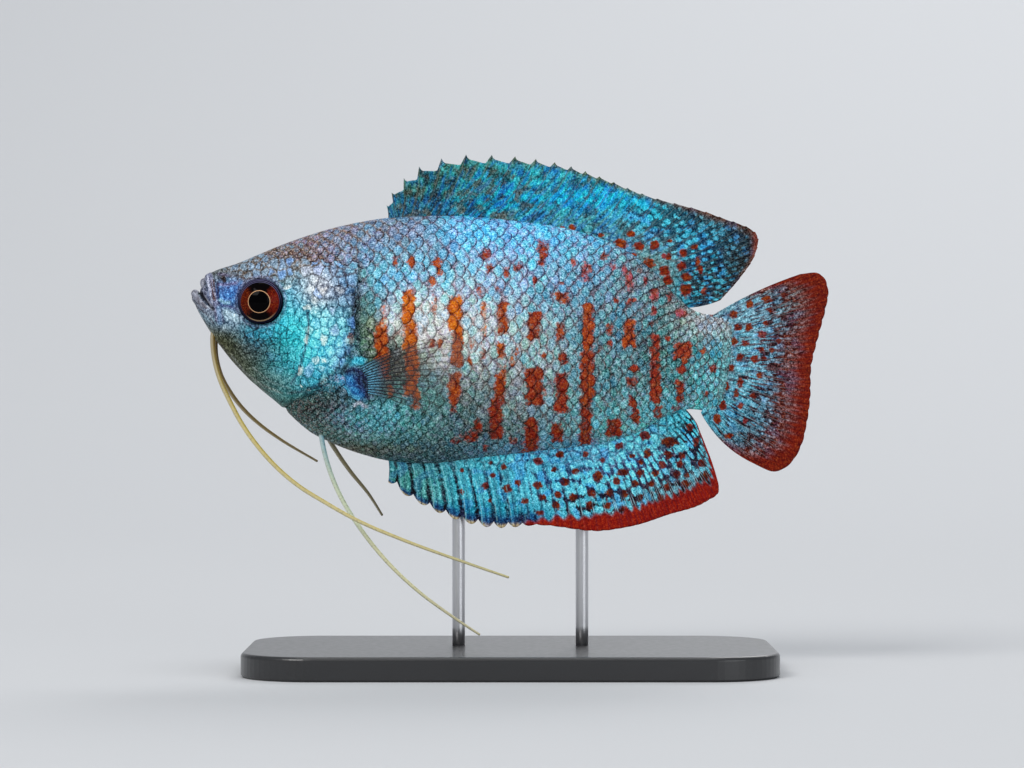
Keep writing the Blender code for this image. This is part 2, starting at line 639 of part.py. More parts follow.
def stand_rod(name, x, body):
    """Upright rod from the plate to the underside of the body, behind the anal fin."""
    bottom = STAND_SIZE[2] + GAP
    top = float(smooth(BELLY, x)) + ROD_INTO_BODY
    path = np.array([(x, ROD_Y, bottom), (x, ROD_Y, top)])
    rod = swept(name, path, (ROD_RADIUS, ROD_RADIUS), ROD_SIDES, STEEL)
    boolean(rod, body, "DIFFERENCE")
    return rod


def main():
    for startup_object in list(bpy.data.objects):
        bpy.data.objects.remove(startup_object)

    body = clearance_body()
    head()
    cover = gill_cover(COVER)
    mirrored(cover, "gill_cover_right")
    torso()
    closed_tube("tail_stalk", body_rings(np.linspace(STALK_FROM + GAP / 2, STALK_TO, 6)))
    for side, name in ((-1, "eye_left"), (1, "eye_right")):
        ellipsoid(name, (EYE_RADIUS, EYE_HALF_DEPTH, EYE_RADIUS), eye_place(side))

    spiny_fin("dorsal_fin", 1, DORSAL_BASE_X, DORSAL_TIPS, DORSAL_NOTCH, DORSAL_SPINES,
              DORSAL_SOFT_RAYS, rows=6, bow=-0.05, sway=0.5, finish=FIN_BLUE)
    spiny_fin("anal_fin", -1, ANAL_BASE_X, ANAL_TIPS, ANAL_NOTCH, ANAL_SPINES,
              ANAL_SOFT_RAYS, rows=5, bow=0.04, sway=-0.4, finish=FIN_BLUE)
    caudal_fin()
    pectoral = pectoral_fin(body)
    mirrored(pectoral, "pectoral_fin_right")

    feeler("chin_feeler_left", CHIN_FEELER_LEFT, body)
    feeler("chin_feeler_right", CHIN_FEELER_RIGHT, body)
    feeler("belly_feeler_left", BELLY_FEELER_LEFT, body)
    feeler("belly_feeler_right", BELLY_FEELER_RIGHT, body)

    stand_base()
    stand_rod("stand_rod_front", ROD_X[0], body)
    stand_rod("stand_rod_rear", ROD_X[1], body)
    discard(body)


main()
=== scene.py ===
import math

import bpy
import numpy as np
from mathutils import Matrix, Vector


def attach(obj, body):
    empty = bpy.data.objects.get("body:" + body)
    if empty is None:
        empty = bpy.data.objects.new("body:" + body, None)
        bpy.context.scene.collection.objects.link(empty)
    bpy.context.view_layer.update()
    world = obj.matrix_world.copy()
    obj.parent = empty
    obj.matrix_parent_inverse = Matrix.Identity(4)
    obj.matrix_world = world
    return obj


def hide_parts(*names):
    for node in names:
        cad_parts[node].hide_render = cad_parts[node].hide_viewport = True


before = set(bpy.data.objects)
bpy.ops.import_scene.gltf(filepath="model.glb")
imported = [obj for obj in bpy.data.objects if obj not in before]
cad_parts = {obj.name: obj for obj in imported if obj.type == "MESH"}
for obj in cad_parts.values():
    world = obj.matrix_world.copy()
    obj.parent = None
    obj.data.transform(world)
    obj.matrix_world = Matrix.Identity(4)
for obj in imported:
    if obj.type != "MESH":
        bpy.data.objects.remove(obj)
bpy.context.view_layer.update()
mm = 0.001


# Curves and meshes

# Cubic through rows of (knot, value, ...): each slope is the mean of the slopes on either side.
def smoothCurve(control, at):
    control = np.asarray(control, float)
    knots, values = control[:, 0], control[:, 1:]
    steps = np.diff(knots)[:, None]
    slopes = np.diff(values, axis=0) / steps
    tangents = np.vstack([slopes[:1], slopes])
    tangents[1:-1] = (slopes[:-1] * steps[1:] + slopes[1:] * steps[:-1]) / (steps[1:] + steps[:-1])
    at = np.clip(np.asarray(at, float), knots[0], knots[-1])
    i = np.clip(np.searchsorted(knots, at, side="right") - 1, 0, len(steps) - 1)
    step = steps[i]
    t = ((at - knots[i]) / step[..., 0])[..., None]
    found = (values[i] * (1 + 2 * t) * (1 - t) ** 2 + tangents[i] * step * t * (1 - t) ** 2
             + values[i + 1] * t * t * (3 - 2 * t) - tangents[i + 1] * step * t * t * (1 - t))
    return found[..., 0] if values.shape[1] == 1 else found


# The same number of steps of equal length along the smooth curve through some points.
def smoothPath(points, count):
    points = np.asarray(points, float)
    run = np.concatenate([[0.0], np.cumsum(np.linalg.norm(np.diff(points, axis=0), axis=1))])
    return smoothCurve(np.column_stack([run, points]), np.linspace(0.0, run[-1], count))


# 0 below low, 1 above high, and 3t^2 - 2t^3 between.
def ease(value, low, high):
    t = np.clip((np.asarray(value, float) - low) / (high - low), 0, 1)
    return t * t * (3 - 2 * t)


# Bell round a middle: exp(-((value - middle) / spread)^2).
def bell(value, middle, spread):
    return np.exp(-((value - middle) / spread) ** 2)


# Rows of colours turned towards another colour, each by its own share from 0 to 1.
def blend(first, second, share):
    share = share[:, None]
    return first * (1 - share) + second * share


# Distance to a polyline in side view, plus on its left; and how far along it, 0 to 1.
def lineDistance(x, z, line):
    point = np.stack([x, z], axis=-1)[..., None, :]
    start, step = line[:-1], np.diff(line, axis=0)
    along = np.clip(((point - start) * step).sum(-1) / (step ** 2).sum(-1), 0, 1)
    off = point - start - along[..., None] * step
    far = np.linalg.norm(off, axis=-1)
    nearest = np.argmin(far, axis=-1)[..., None]
    side = np.sign(step[:, 0] * off[..., 1] - step[:, 1] * off[..., 0])
    pick = lambda values: np.take_along_axis(values, nearest, -1)[..., 0]
    return pick(far) * pick(side), pick((np.arange(len(step)) + along) / len(step))


# Screen colour, 0 to 255, as the linear colour that shaders use.
def tint(*rgb):
    share = np.asarray(rgb, float) / 255.0
    return np.where(share <= 0.04045, share / 12.92, ((share + 0.055) / 1.055) ** 2.4)


# Mesh object from points in mm and arrays of faces; uv and colour layers hold a row per point.
def makePiece(name, points, faces, uv=None, colour=None, smooth=True):
    mesh = bpy.data.meshes.new(name)
    points = np.asarray(points, float)
    mesh.vertices.add(len(points))
    mesh.vertices.foreach_set("co", (points * mm).astype(np.float32).ravel())
    corners = np.concatenate([np.asarray(f).ravel() for f in faces])
    sizes = np.concatenate([np.full(len(f), np.shape(f)[1]) for f in faces])
    mesh.loops.add(len(corners))
    mesh.loops.foreach_set("vertex_index", corners.astype(np.int32))
    mesh.polygons.add(len(sizes))
    mesh.polygons.foreach_set("loop_start", np.concatenate([[0], np.cumsum(sizes)[:-1]]).astype(np.int32))
    mesh.polygons.foreach_set("use_smooth", np.full(len(sizes), smooth))
    for layer, rows in (uv or {}).items():
        mesh.uv_layers.new(name=layer).data.foreach_set("uv", rows[corners].astype(np.float32).ravel())
    for layer, rows in (colour or {}).items():
        rgba = np.ones((len(points), 4), np.float32)
        rgba[:, :rows.shape[1]] = rows
        mesh.attributes.new(layer, "FLOAT_COLOR", "POINT").data.foreach_set("color", rgba.ravel())
    mesh.update(calc_edges=True)
    mesh.validate()
    made = bpy.data.objects.new(name, mesh)
    bpy.context.scene.collection.objects.link(made)
    return made


# Quads of a grid of rows and columns; wrapped closes each row into a ring.
def gridQuads(rows, columns, wrapped=False, first=0):
    r, c = np.meshgrid(np.arange(rows - 1), np.arange(columns if wrapped else columns - 1), indexing="ij")
    a = first + r * columns + c
    b = first + r * columns + (c + 1) % columns
    return np.stack([a, b, b + columns, a + columns], axis=-1).reshape(-1, 4)


# Triangles from one point to a ring of points.
def fan(centre, ring, flipped=False):
    ring = np.asarray(ring)
    after = np.roll(ring, -1)
    pair = (after, ring) if flipped else (ring, after)
    return np.stack([np.full(len(ring), centre), *pair], axis=-1)


# Faces of rings stacked along an axis, closed by fans to the two middle points that follow the rings.
def ringFaces(rows, columns):
    first, end = np.arange(columns), rows * columns
    last = first + end - columns
    return [gridQuads(rows, columns, wrapped=True), fan(end, first, True), fan(end + 1, last)]


# Rides on the body, takes its material, and stands for the named nodes; its slot is not used.
def finishPiece(piece, slot, material, *nodes):
    piece.data.materials.append(material)
    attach(piece, "root")
    if nodes:
        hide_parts(*nodes)
    return piece


# Shaders

# Method for an operator: it adds a Math node; turned is for a value that stands before the wire.
def mathMethod(operation, turned=False):
    return lambda self, other: self.math(operation, *((other, self) if turned else (self, other)))


# One socket of a material's tree: an expression on wires adds its Math nodes.
class Wire:
    def __init__(self, finish, socket):
        self.finish, self.socket = finish, socket

    def math(self, operation, *values):
        return self.finish.node("Math", {"operation": operation}, dict(enumerate(values)))

    __add__, __radd__ = mathMethod("ADD"), mathMethod("ADD", True)
    __sub__, __rsub__ = mathMethod("SUBTRACT"), mathMethod("SUBTRACT", True)
    __mul__, __rmul__ = mathMethod("MULTIPLY"), mathMethod("MULTIPLY", True)
    __truediv__, __pow__ = mathMethod("DIVIDE"), mathMethod("POWER")

    def __abs__(self):
        return self.math("ABSOLUTE", self)

    def least(self, other):
        return self.math("MINIMUM", self, other)

    def most(self, other):
        return self.math("MAXIMUM", self, other)

    def wave(self):
        return self.math("SINE", self)

    def root(self):
        return self.math("SQRT", self)

    def part(self):
        return self.math("FRACT", self)

    def ease(self, low, high, start=0.0, end=1.0):  # smooth step from start at low to end at high
        sockets = {0: self, 1: low, 2: high, 3: start, 4: end}
        return self.finish.node("MapRange", {"interpolation_type": "SMOOTHSTEP"}, sockets)


class Finish:
    def __init__(self, name):
        self.material = bpy.data.materials.new(name)
        self.material.use_nodes = True
        self.tree = self.material.node_tree
        self.shader = self.tree.nodes["Principled BSDF"]

    def feed(self, socket, value):
        if isinstance(value, Wire):
            self.tree.links.new(value.socket, socket)
        elif hasattr(value, "__len__") and len(value) == 3 and socket.type == "RGBA":
            socket.default_value = (*value, 1.0)
        else:
            socket.default_value = value

    # Any node: its type, its settings, which are set first, and the values or wires of its sockets.
    def node(self, kind, settings=None, sockets=None, output=0):
        made = self.tree.nodes.new("ShaderNode" + kind)
        for key, value in (settings or {}).items():
            setattr(made, key, value)
        for key, value in (sockets or {}).items():
            self.feed(made.inputs[key], value)
        return Wire(self, made.outputs[output])

    # Mix of two colours, which are sockets 6 and 7 and output 2 of a Mix node.
    def mix(self, share, first, second, how="MIX"):
        settings = {"data_type": "RGBA", "blend_type": how, "clamp_factor": True, "clamp_result": True}
        return self.node("Mix", settings, {0: share, 6: first, 7: second}, 2)

    def vector(self, operation, first, second):
        return self.node("VectorMath", {"operation": operation}, {0: first, 1: second})

    def split(self, kind, value):  # the three parts of a vector or a colour
        outputs = self.node(kind, None, {0: value}).socket.node.outputs
        return [Wire(self, outputs[i]) for i in range(3)]

    def shades(self, colour):  # red, green and blue of a colour
        return self.split("SeparateColor", colour)

    def uv(self, layer):
        return self.split("SeparateXYZ", self.node("UVMap", {"uv_map": layer}))[:2]

    def noise(self, size, detail=2.0):  # size of its patches in mm
        where = self.node("TexCoord", output="Object")
        sockets = {"Vector": where, "Scale": 1.0 / (size * mm), "Detail": detail}
        return self.node("TexNoise", None, sockets)

    # Upright granules of pigment, about -0.8 to 0.8, bright at their middles, each of its own brightness.
    def grain(self, size):
        step = 1.0 / (size * mm)
        where = self.node("TexCoord", output="Object")
        away, chance = self.cells(self.vector("MULTIPLY", where, (step, step, step * 0.75)), flat=False)
        own, _, _ = self.shades(chance)
        return (0.5 - away) * 1.1 + (own - 0.5) * 0.8 + (self.noise(size * 0.6, 2.0) - 0.5) * 1.4

    # Colour made lighter and darker by granules and finer noise: one step added to its screen shades.
    def grained(self, tone, grain, amount):
        step = (grain * 0.66 + (self.noise(0.19, 1.0) - 0.5) * 3.6) * amount
        step = self.node("CombineColor", None, {0: step, 1: step, 2: step})
        shown = self.node("Gamma", None, {0: tone, 1: 1 / 2.2})
        return self.node("Gamma", None, {0: self.mix(1.0, shown, step, "ADD"), 1: 2.2})

    # Place in the side view, in cells of a size in mm, swayed by a noise so that no row is straight.
    def sideView(self, across, along, sway=0.25):
        place = self.node("TexCoord", output="Object")
        loose = self.node("TexNoise", None, {"Vector": place, "Scale": 700.0, "Detail": 1.0}, 1)
        place = self.vector("ADD", place, self.vector("MULTIPLY", loose, (sway * 2 * mm,) * 3))
        x, _, z = self.split("SeparateXYZ", place)
        return self.node("CombineXYZ", None, {0: x / (across * mm), 1: z / (along * mm)})

    def place(self, layer, across, along):  # on a UV map, in cells per unit
        where = self.node("UVMap", {"uv_map": layer})
        return self.vector("MULTIPLY", where, (across, along, 1.0))

    def mapNoise(self, layer, across, along, detail=2.0, seed=0.0):
        where = self.vector("ADD", self.place(layer, across, along), (seed, seed * 1.7, 0.0))
        return self.node("TexNoise", None, {"Vector": where, "Scale": 1.0, "Detail": detail})

    # Cells over a place: distance to each one's point or edge, and its random colour.
    def cells(self, where, spread=1.0, feature="F1", flat=True):
        settings = {"voronoi_dimensions": "2D" if flat else "3D", "feature": feature}
        sockets = {"Vector": where, "Scale": 1.0, "Randomness": spread}
        made = self.node("TexVoronoi", settings, sockets)
        return made, Wire(self, made.socket.node.outputs["Color"]) if feature == "F1" else None

    def colour(self, layer):
        return self.node("Attribute", {"attribute_name": layer}, output="Color")

    def amount(self, layer):  # fourth value of a colour layer
        return self.node("Attribute", {"attribute_name": layer}, output="Alpha")

    def bump(self, height, distance, strength):
        sockets = {"Height": height, "Distance": distance * mm, "Strength": strength}
        return self.node("Bump", None, sockets)

    # Tone with the red marks over it, ragged by a noise about 0 and darker where the fill is low.
    def reddened(self, tone, ragged, fill):
        near = self.amount("redTone")
        share, red = (near + ragged * near.ease(0.0, 0.3)).ease(0.14, 0.86), self.colour("redTone")
        dark = self.mix(1.0, red, tint(170, 120, 110), "MULTIPLY")
        red = self.mix(fill.ease(0.2, 0.9), dark, red)
        red = self.mix(self.noise(0.8, 1.0).ease(0.48, 0.60) * 0.5, red, tint(226, 104, 20), "COLOR")
        return share, self.mix(share, tone, red)

    def surface(self, **sockets):
        for name, value in sockets.items():
            self.feed(self.shader.inputs[name.replace("_", " ")], value)
        return self.material


# Camera, lights and floor

studio = {
    "eye": (0.2, -450.0, 35.8), "viewWidth": 128.2, "sensor": 36.0, "clip": (0.01, 20.0),
    "floorColour": (0.60, 0.61, 0.63), "worldColour": (0.90, 0.95, 1.0), "worldStrength": 0.40,
    "floorSide": 4000, "floorFront": -3000,  # mm from the fish
    "sweepStart": 420, "sweepRadius": 900, "backdropTop": 3500,
    "aim": (0, 0, 38),  # where the lights look
    "lights": [  # name, place in mm, size in mm, watts, colour
        ("keyLight", (-650, -950, 980), 620, 10.4, (1.0, 0.985, 0.96)),
        ("fillLight", (900, -1100, 190), 900, 4.8, (0.95, 0.98, 1.0)),
        ("rimLight", (350, 950, 900), 600, 5.0, (1.0, 1.0, 1.0)),
        ("topLight", (0, -100, 1400), 700, 4.5, (1.0, 1.0, 1.0)),
    ],
}


def setStudio(s):
    camera = bpy.data.objects.new("camera", bpy.data.cameras.new("camera"))
    camera.location = Vector(s["eye"]) * mm
    camera.rotation_euler = (math.pi / 2, 0, 0)
    camera.data.sensor_width = s["sensor"]
    camera.data.lens = s["sensor"] * -s["eye"][1] / s["viewWidth"]
    camera.data.clip_start, camera.data.clip_end = s["clip"]
    bpy.context.scene.collection.objects.link(camera)
    bpy.context.scene.camera = camera
    for name, place, size, watts, colour in s["lights"]:
        light = bpy.data.lights.new(name, "AREA")
        light.size, light.energy, light.color = size * mm, watts, colour
        lamp = bpy.data.objects.new(name, light)
        lamp.location = Vector(place) * mm
        lamp.rotation_euler = (Vector(s["aim"]) - Vector(place)).to_track_quat("-Z", "Y").to_euler()
        bpy.context.scene.collection.objects.link(lamp)
    world = bpy.data.worlds.new("studioWorld")
    world.use_nodes = True
    background = world.node_tree.nodes["Background"].inputs
    background["Color"].default_value = (*s["worldColour"], 1)
    background["Strength"].default_value = s["worldStrength"]
    bpy.context.scene.world = world
    bpy.context.scene.view_settings.view_transform = "Standard"
    # Floor that sweeps up into a backdrop: level, then a quarter circle, then upright.
    across = np.linspace(-s["floorSide"], s["floorSide"], 3)
    turn = np.linspace(0, math.pi / 2, 24)
    start, radius = s["sweepStart"], s["sweepRadius"]
    sweep = np.column_stack([start + radius * np.sin(turn), radius - radius * np.cos(turn)])
    profile = np.vstack([[(s["floorFront"], 0)], sweep, [(start + radius, s["backdropTop"])]])
    x, along = np.meshgrid(across, np.arange(len(profile)), indexing="ij")
    points = np.stack([x, profile[along, 0], profile[along, 1]], axis=-1).reshape(-1, 3)
    floor = makePiece("studioFloor", points, [gridQuads(len(across), len(profile))])
    paper = Finish("studioPaper")
    floor.data.materials.append(paper.surface(Base_Color=s["floorColour"], Roughness=0.9))


setStudio(studio)
print("studio ready")


# Body

body = {
    # side view in mm, x from snout to tail root
    "back": [(-39.8, 47.3), (-39.3, 48.4), (-38.0, 49.4), (-33.9, 51.0), (-28.9, 53.1), (-22.6, 55.2),
             (-16.0, 56.5), (-9.0, 56.9), (1.2, 56.2), (8.0, 55.1), (13.0, 53.4), (16.2, 51.4),
             (20.2, 46.9), (21.8, 45.3), (23.6, 44.6), (26.2, 44.6)],
    "belly": [(-39.8, 46.3), (-38.8, 44.4), (-37.0, 41.5), (-33.0, 36.7), (-28.9, 33.2), (-24.9, 29.7),
              (-22.5, 28.5), (-16.3, 26.4), (-11.0, 25.8), (-3.8, 26.5), (6.2, 27.6), (11.2, 28.2),
              (16.2, 29.7), (19.3, 31.3), (22.0, 32.5), (24.0, 32.6), (26.2, 32.0)],
    "halfWidth": [(-39.8, 0.7), (-39.0, 1.5), (-38.0, 2.1), (-35.0, 3.25), (-31.1, 4.3), (-27.6, 5.1),
                  (-23.8, 5.7), (-19.0, 6.1), (-12.0, 6.2), (-5.0, 5.9), (2.0, 5.3), (8.0, 4.6),
                  (14.0, 3.7), (19.0, 2.8), (22.5, 2.2), (26.2, 1.3)],
    "keelAbove": [(-39.8, 0.9), (-30.0, 0.95), (-16.0, 1.15), (10.0, 1.25), (26.2, 1.0)],
    "keelBelow": [(-39.8, 0.9), (-30.0, 1.05), (-16.0, 1.2), (10.0, 1.35), (26.2, 1.0)],
    "closeFrom": 23.5, "closeLength": 4.3,  # where it thins towards the tail fin, as a quarter ellipse
    "leanFrom": 16.0, "leanOver": 6.0, "stalkLean": 0.12,
    "upperJaw": -38.1, "lowerLip": (47.3, 48.0), "jawPull": 0.75,
    "gillSlit": [(-18.9, 50.4), (-18.9, 48.7), (-19.1, 44.4), (-19.2, 40.9), (-20.2, 38.6),
                 (-22.0, 36.4), (-24.4, 34.8), (-27.3, 33.6), (-29.8, 31.8)],
    "coverEdge": [(-28.3, 33.8), (-27.6, 36.1), (-26.3, 38.8), (-25.6, 41.9), (-25.6, 45.1),
                  (-25.6, 47.3)],
    "coverRise": 0.4, "socketDepth": 2.3, "noseDepth": 0.4, "padRise": 0.12,
    # grooves and ridges in mm: height, distance from the line or the rim that they follow, spread
    "slitGroove": (-0.22, 0.3, 0.25), "coverGroove": (-0.09, -0.1, 0.2), "coverRidge": (0.05, 0.45, 0.4),
    "orbitRidge": (0.12, 0.38, 0.26),
    "mouth": [(-41.0, 48.2), (-39.0, 47.4), (-38.1, 46.35), (-37.0, 45.1)],
    "eye": (-30.97, 46.0), "eyeOpening": 2.8, "nostril": (-35.7, 49.0, 0.42),
    "finPad": (-18.9, 36.4, 1.5, 2.6),
    "stations": [(0.0, -39.8), (0.12, -38.4), (0.62, -18.0), (1.0, 27.6)],
    "stationCount": 290, "around": 260, "coatDepth": 0.12,  # how far the skin lies under the scales
}
gillSlit = smoothPath(body["gillSlit"], 36)
coverEdge = smoothPath(body["coverEdge"], 20)
mouthLine = smoothPath(body["mouth"], 14)

# The marking tables count steps right and down in the side view.
viewStep = 80.0 / 639.0  # mm
viewRight, viewDown = 510.5, 670.0  # at x = 0 and z = 0


def fromView(right, down):
    return (right - viewRight) * viewStep, (viewDown - down) * viewStep


# Places in the plane y = 0 that the camera sees them at; the right side is taken as its mirror image.
def seenPlace(points):
    eyeX, eyeY, eyeZ = studio["eye"]
    nearer = eyeY / (eyeY + np.abs(points[..., 1]))
    return eyeX + (points[..., 0] - eyeX) * nearer, eyeZ + (points[..., 2] - eyeZ) * nearer


def toView(points):
    x, z = seenPlace(points)
    return x / viewStep + viewRight, viewDown - z / viewStep


# Ring point: y = w |cos a|^keel, z = middle + h sin a; rings lean back and close towards the tail fin.
def trunk(station, angle, b=body):
    top, bottom = smoothCurve(b["back"], station), smoothCurve(b["belly"], station)
    middle, halfHeight = (top + bottom) / 2, (top - bottom) / 2
    closed = np.maximum(station - b["closeFrom"], 0) / b["closeLength"]
    halfWidth = smoothCurve(b["halfWidth"], station) * np.sqrt(np.maximum(1 - closed ** 2, 0.02))
    keel = np.where(np.sin(angle) > 0, smoothCurve(b["keelAbove"], station),
                    smoothCurve(b["keelBelow"], station))
    y = halfWidth * np.sign(np.cos(angle)) * np.abs(np.cos(angle)) ** keel
    lift = halfHeight * np.sin(angle)
    x = station + lift * b["stalkLean"] * np.clip((station - b["leanFrom"]) / b["leanOver"], 0, 1)
    z = middle + lift
    # the upper jaw ends behind the lower one
    x = x + b["jawPull"] * np.maximum(b["upperJaw"] - x, 0) * ease(z, *b["lowerLip"])
    return np.stack([x, y, z], axis=-1)


# Scales cover the nape above this height, a wavy line from the brow to the gill slit.
def napeHeight(x):
    line = smoothCurve([(-36.0, 52.0), (-32.0, 51.5), (-27.0, 51.1), (-22.0, 50.4), (-18.0, 49.4)], x)
    return line + 0.22 * np.sin(x * 2.9) + 0.14 * np.sin(x * 5.3 + 1)


# Strokes of the face in the side view: points, half width, softness, colour, strength, lift in mm.
strokes = [
    ([(209, 276), (211, 288), (214, 300), (217, 310), (219, 319)], 3.6, 1.2, (122, 126, 156), 0.85, 0.10),
    ([(203, 276), (202, 284), (204, 292), (208, 300)], 3.4, 1.5, (112, 112, 134), 0.6, 0.03),
    ([(212.5, 281), (213.5, 290), (214.5, 299)], 1.9, 0.9, (74, 42, 36), 0.9, -0.03),
    ([(207.6, 275), (208.6, 285), (210.4, 295), (213.5, 306)], 0.8, 0.6, (184, 190, 210), 0.85, 0.04),
    ([(211.5, 277), (213.5, 289), (217.5, 303)], 0.6, 0.6, (158, 166, 198), 0.7, 0.02),
    ([(217.8, 283), (218.4, 296), (219.4, 304), (222, 312), (223.6, 322)], 0.9, 0.7,
     (48, 48, 86), 0.85, -0.07),
    ([(213.4, 304), (215, 312), (215.8, 321)], 0.8, 0.6, (64, 62, 96), 0.7, -0.05),
    ([(218.6, 308), (219.6, 316), (220, 323)], 2.2, 1.2, (116, 152, 190), 0.8, 0.05),
    ([(207.5, 313), (211, 317.5), (213.4, 320)], 1.0, 0.8, (176, 200, 214), 0.75, 0.02),
    ([(223.0, 305.5), (230, 306.5), (238, 309.5)], 1.0, 0.9, (84, 74, 128), 0.7, -0.04),
    ([(220, 300), (225, 303), (229, 302.5)], 1.6, 1.2, (166, 216, 236), 0.7, 0.02),
    ([(226, 312), (231, 316), (237, 319)], 3.4, 2.5, (186, 216, 230), 0.7, 0.02),
    ([(193, 303), (200, 309), (208, 316), (213, 323)], 1.0, 0.8, (66, 60, 72), 0.6, -0.05),
    ([(192, 296), (198, 302), (205, 308), (211, 312)], 4.2, 2.0, (128, 132, 150), 0.6, 0.03),
    ([(199.8, 302), (206, 305.5), (212, 309)], 0.7, 0.6, (196, 202, 214), 0.8, 0.02),
    ([(223.4, 276.6), (223.9, 279), (224.6, 281)], 1.9, 1.2, (54, 32, 24), 0.95, 0.0),
    ([(228.2, 279), (228.6, 280.6)], 2.0, 1.2, (86, 122, 156), 0.8, 0.03),
    ([(219, 274), (223, 274.2), (228, 275.6)], 1.4, 1.0, (104, 96, 124), 0.7, 0.04),
    ([(219, 284.4), (227, 284.8), (236, 283)], 1.4, 1.2, (108, 98, 140), 0.7, 0.0),
    ([(246, 321), (258, 326), (272, 323)], 1.4, 1.2, (22, 116, 150), 0.4, -0.03),
    ([(307, 312), (309, 324), (307, 340), (303.5, 356), (298, 372), (291, 384)], 1.2, 0.8,
     (0, 44, 76), 0.95, -0.04),
    ([(352.5, 286), (354.5, 300), (353.5, 322), (352, 340), (348, 356)], 3.0, 2.0, (22, 48, 68), 0.9, 0.0),
    ([(347, 350), (341, 362), (333, 374), (320, 384), (306, 391), (288, 393)], 1.3, 0.9,
     (20, 36, 48), 0.95, -0.03),
    ([(345, 334), (345, 346), (340, 358), (333, 367)], 2.4, 1.6, (72, 140, 200), 0.5, 0.0),
    ([(282, 393), (262, 385), (245, 372), (232, 356)], 0.8, 0.8, (134, 142, 136), 0.55, 0.03),
    ([(292, 390), (270, 381), (252, 367)], 0.7, 0.7, (120, 132, 132), 0.4, 0.02),
    ([(270, 394), (250, 382), (232, 364), (220, 346)], 0.8, 0.8, (60, 60, 48), 0.5, -0.03),
    ([(350, 379), (352, 385), (355, 391), (362, 395)], 5.0, 3.8, (14, 108, 184), 0.75, 0.0),
    ([(338, 376), (343, 381), (348, 390)], 2.6, 2.6, (84, 166, 216), 0.6, 0.0),
    ([(344, 387), (349, 393)], 1.8, 1.5, (96, 208, 246), 0.8, 0.0),
    ([(354, 397), (360, 399)], 1.6, 1.3, (84, 196, 244), 0.8, 0.0),
    ([(349, 378), (353, 380)], 1.5, 1.3, (84, 180, 240), 0.75, 0.0),
    ([(353, 389), (357, 391)], 1.4, 1.2, (80, 184, 246), 0.75, 0.0),
    ([(356, 378), (361, 384), (364, 391)], 3.0, 2.4, (6, 20, 84), 0.85, 0.0),
    ([(348, 371), (354, 369), (360, 372), (364, 377)], 3.4, 2.6, (6, 18, 74), 0.9, 0.0),
    ([(366, 378), (369, 387), (368, 397)], 2.4, 1.8, (6, 12, 58), 0.9, 0.03),
    ([(346, 384), (352, 385), (358, 387)], 1.0, 1.0, (8, 36, 104), 0.7, 0.0),
    ([(350, 361), (356, 360), (363, 361)], 4.0, 2.8, (52, 200, 232), 0.85, 0.0),
    ([(355, 405), (360, 402.6), (366, 407)], 1.8, 1.2, (206, 216, 230), 0.85, 0.04),
    # four thin pale lines at the foot of the breast fin: painted highlights on its rays
    ([(371, 382), (377, 383)], 0.7, 0.6, (134, 196, 220), 0.6, 0.0),
    ([(371, 387), (379, 388)], 0.7, 0.6, (134, 196, 220), 0.6, 0.0),
    ([(371, 392), (379, 393)], 0.7, 0.6, (134, 196, 220), 0.6, 0.0),
    ([(371, 397), (378, 399)], 0.7, 0.6, (134, 196, 220), 0.6, 0.0),
]
strokeLines = [np.array([fromView(*point) for point in stroke[0]]) for stroke in strokes]
strokeReach = 1.2  # mm round the box of its points, outside which a stroke leaves no mark


# Share of each stroke at places of the side view, from the distance to its line.
def strokeShares(x, z):
    for line, (_, half, soft, colour, strength, lift) in zip(strokeLines, strokes):
        low, high = line.min(0) - strokeReach, line.max(0) + strokeReach
        near = (x > low[0]) & (x < high[0]) & (z > low[1]) & (z < high[1])
        share = np.zeros(np.shape(x))
        if near.any():
            far, _ = lineDistance(x[near], z[near], line)
            share[near] = 1 - ease(np.abs(far) / viewStep, half - soft, half + soft)
        yield share, colour, strength, lift


# Height of the skin over the plain trunk, from the side-view distance to each feature.
def relief(points, b=body):
    def ridge(distance, name):
        height, middle, spread = b[name]
        return height * bell(distance, middle, spread)

    x, z = points[..., 0], points[..., 2]
    slit, _ = lineDistance(x, z, gillSlit)
    edge, _ = lineDistance(x, z, coverEdge)
    gape, along = lineDistance(x, z, mouthLine)
    fromRim = np.hypot(x - b["eye"][0], z - b["eye"][1]) - b["eyeOpening"]
    noseX, noseZ, noseRadius = b["nostril"]
    padX, padZ, halfX, halfZ = b["finPad"]
    fade = 1 - ease(z, 49.2, 50.6)  # the cover and its slit end below the nape
    cover = b["coverRise"] * ease(x, -26.0, -19.5) * fade * (1 - ease(slit, -0.02, 0.16))
    ridges = ridge(slit, "slitGroove") * fade + ridge(edge, "coverGroove") + ridge(edge, "coverRidge")
    ridges += ridge(fromRim, "orbitRidge")
    socket = -b["socketDepth"] * (1 - ease(fromRim, -0.45, 0.12))
    mouth = -(1.1 - 0.8 * along) * bell(gape, 0, 0.40 - 0.24 * along)  # shallower and thinner at its corner
    nose = -b["noseDepth"] * bell(np.hypot(x - noseX, z - noseZ), 0, noseRadius)
    pad = b["padRise"] * np.exp(-((x - padX) / halfX) ** 4 - ((z - padZ) / halfZ) ** 4)
    lines = sum(share * lift for share, _, _, lift in strokeShares(*seenPlace(points)))
    return cover + ridges + socket + mouth + nose + pad + lines


# Distance from the middle of the pad that carries the breast fin: 1 at the pad's rim.
def padReach(x, z, b=body):
    padX, padZ, halfX, halfZ = b["finPad"]
    return np.hypot((x - padX) / halfX, (z - padZ) / halfZ)


# Place along the body on a baked map, from 0 to 1.
def bakeAlong(x):
    return (x + 41) / 71


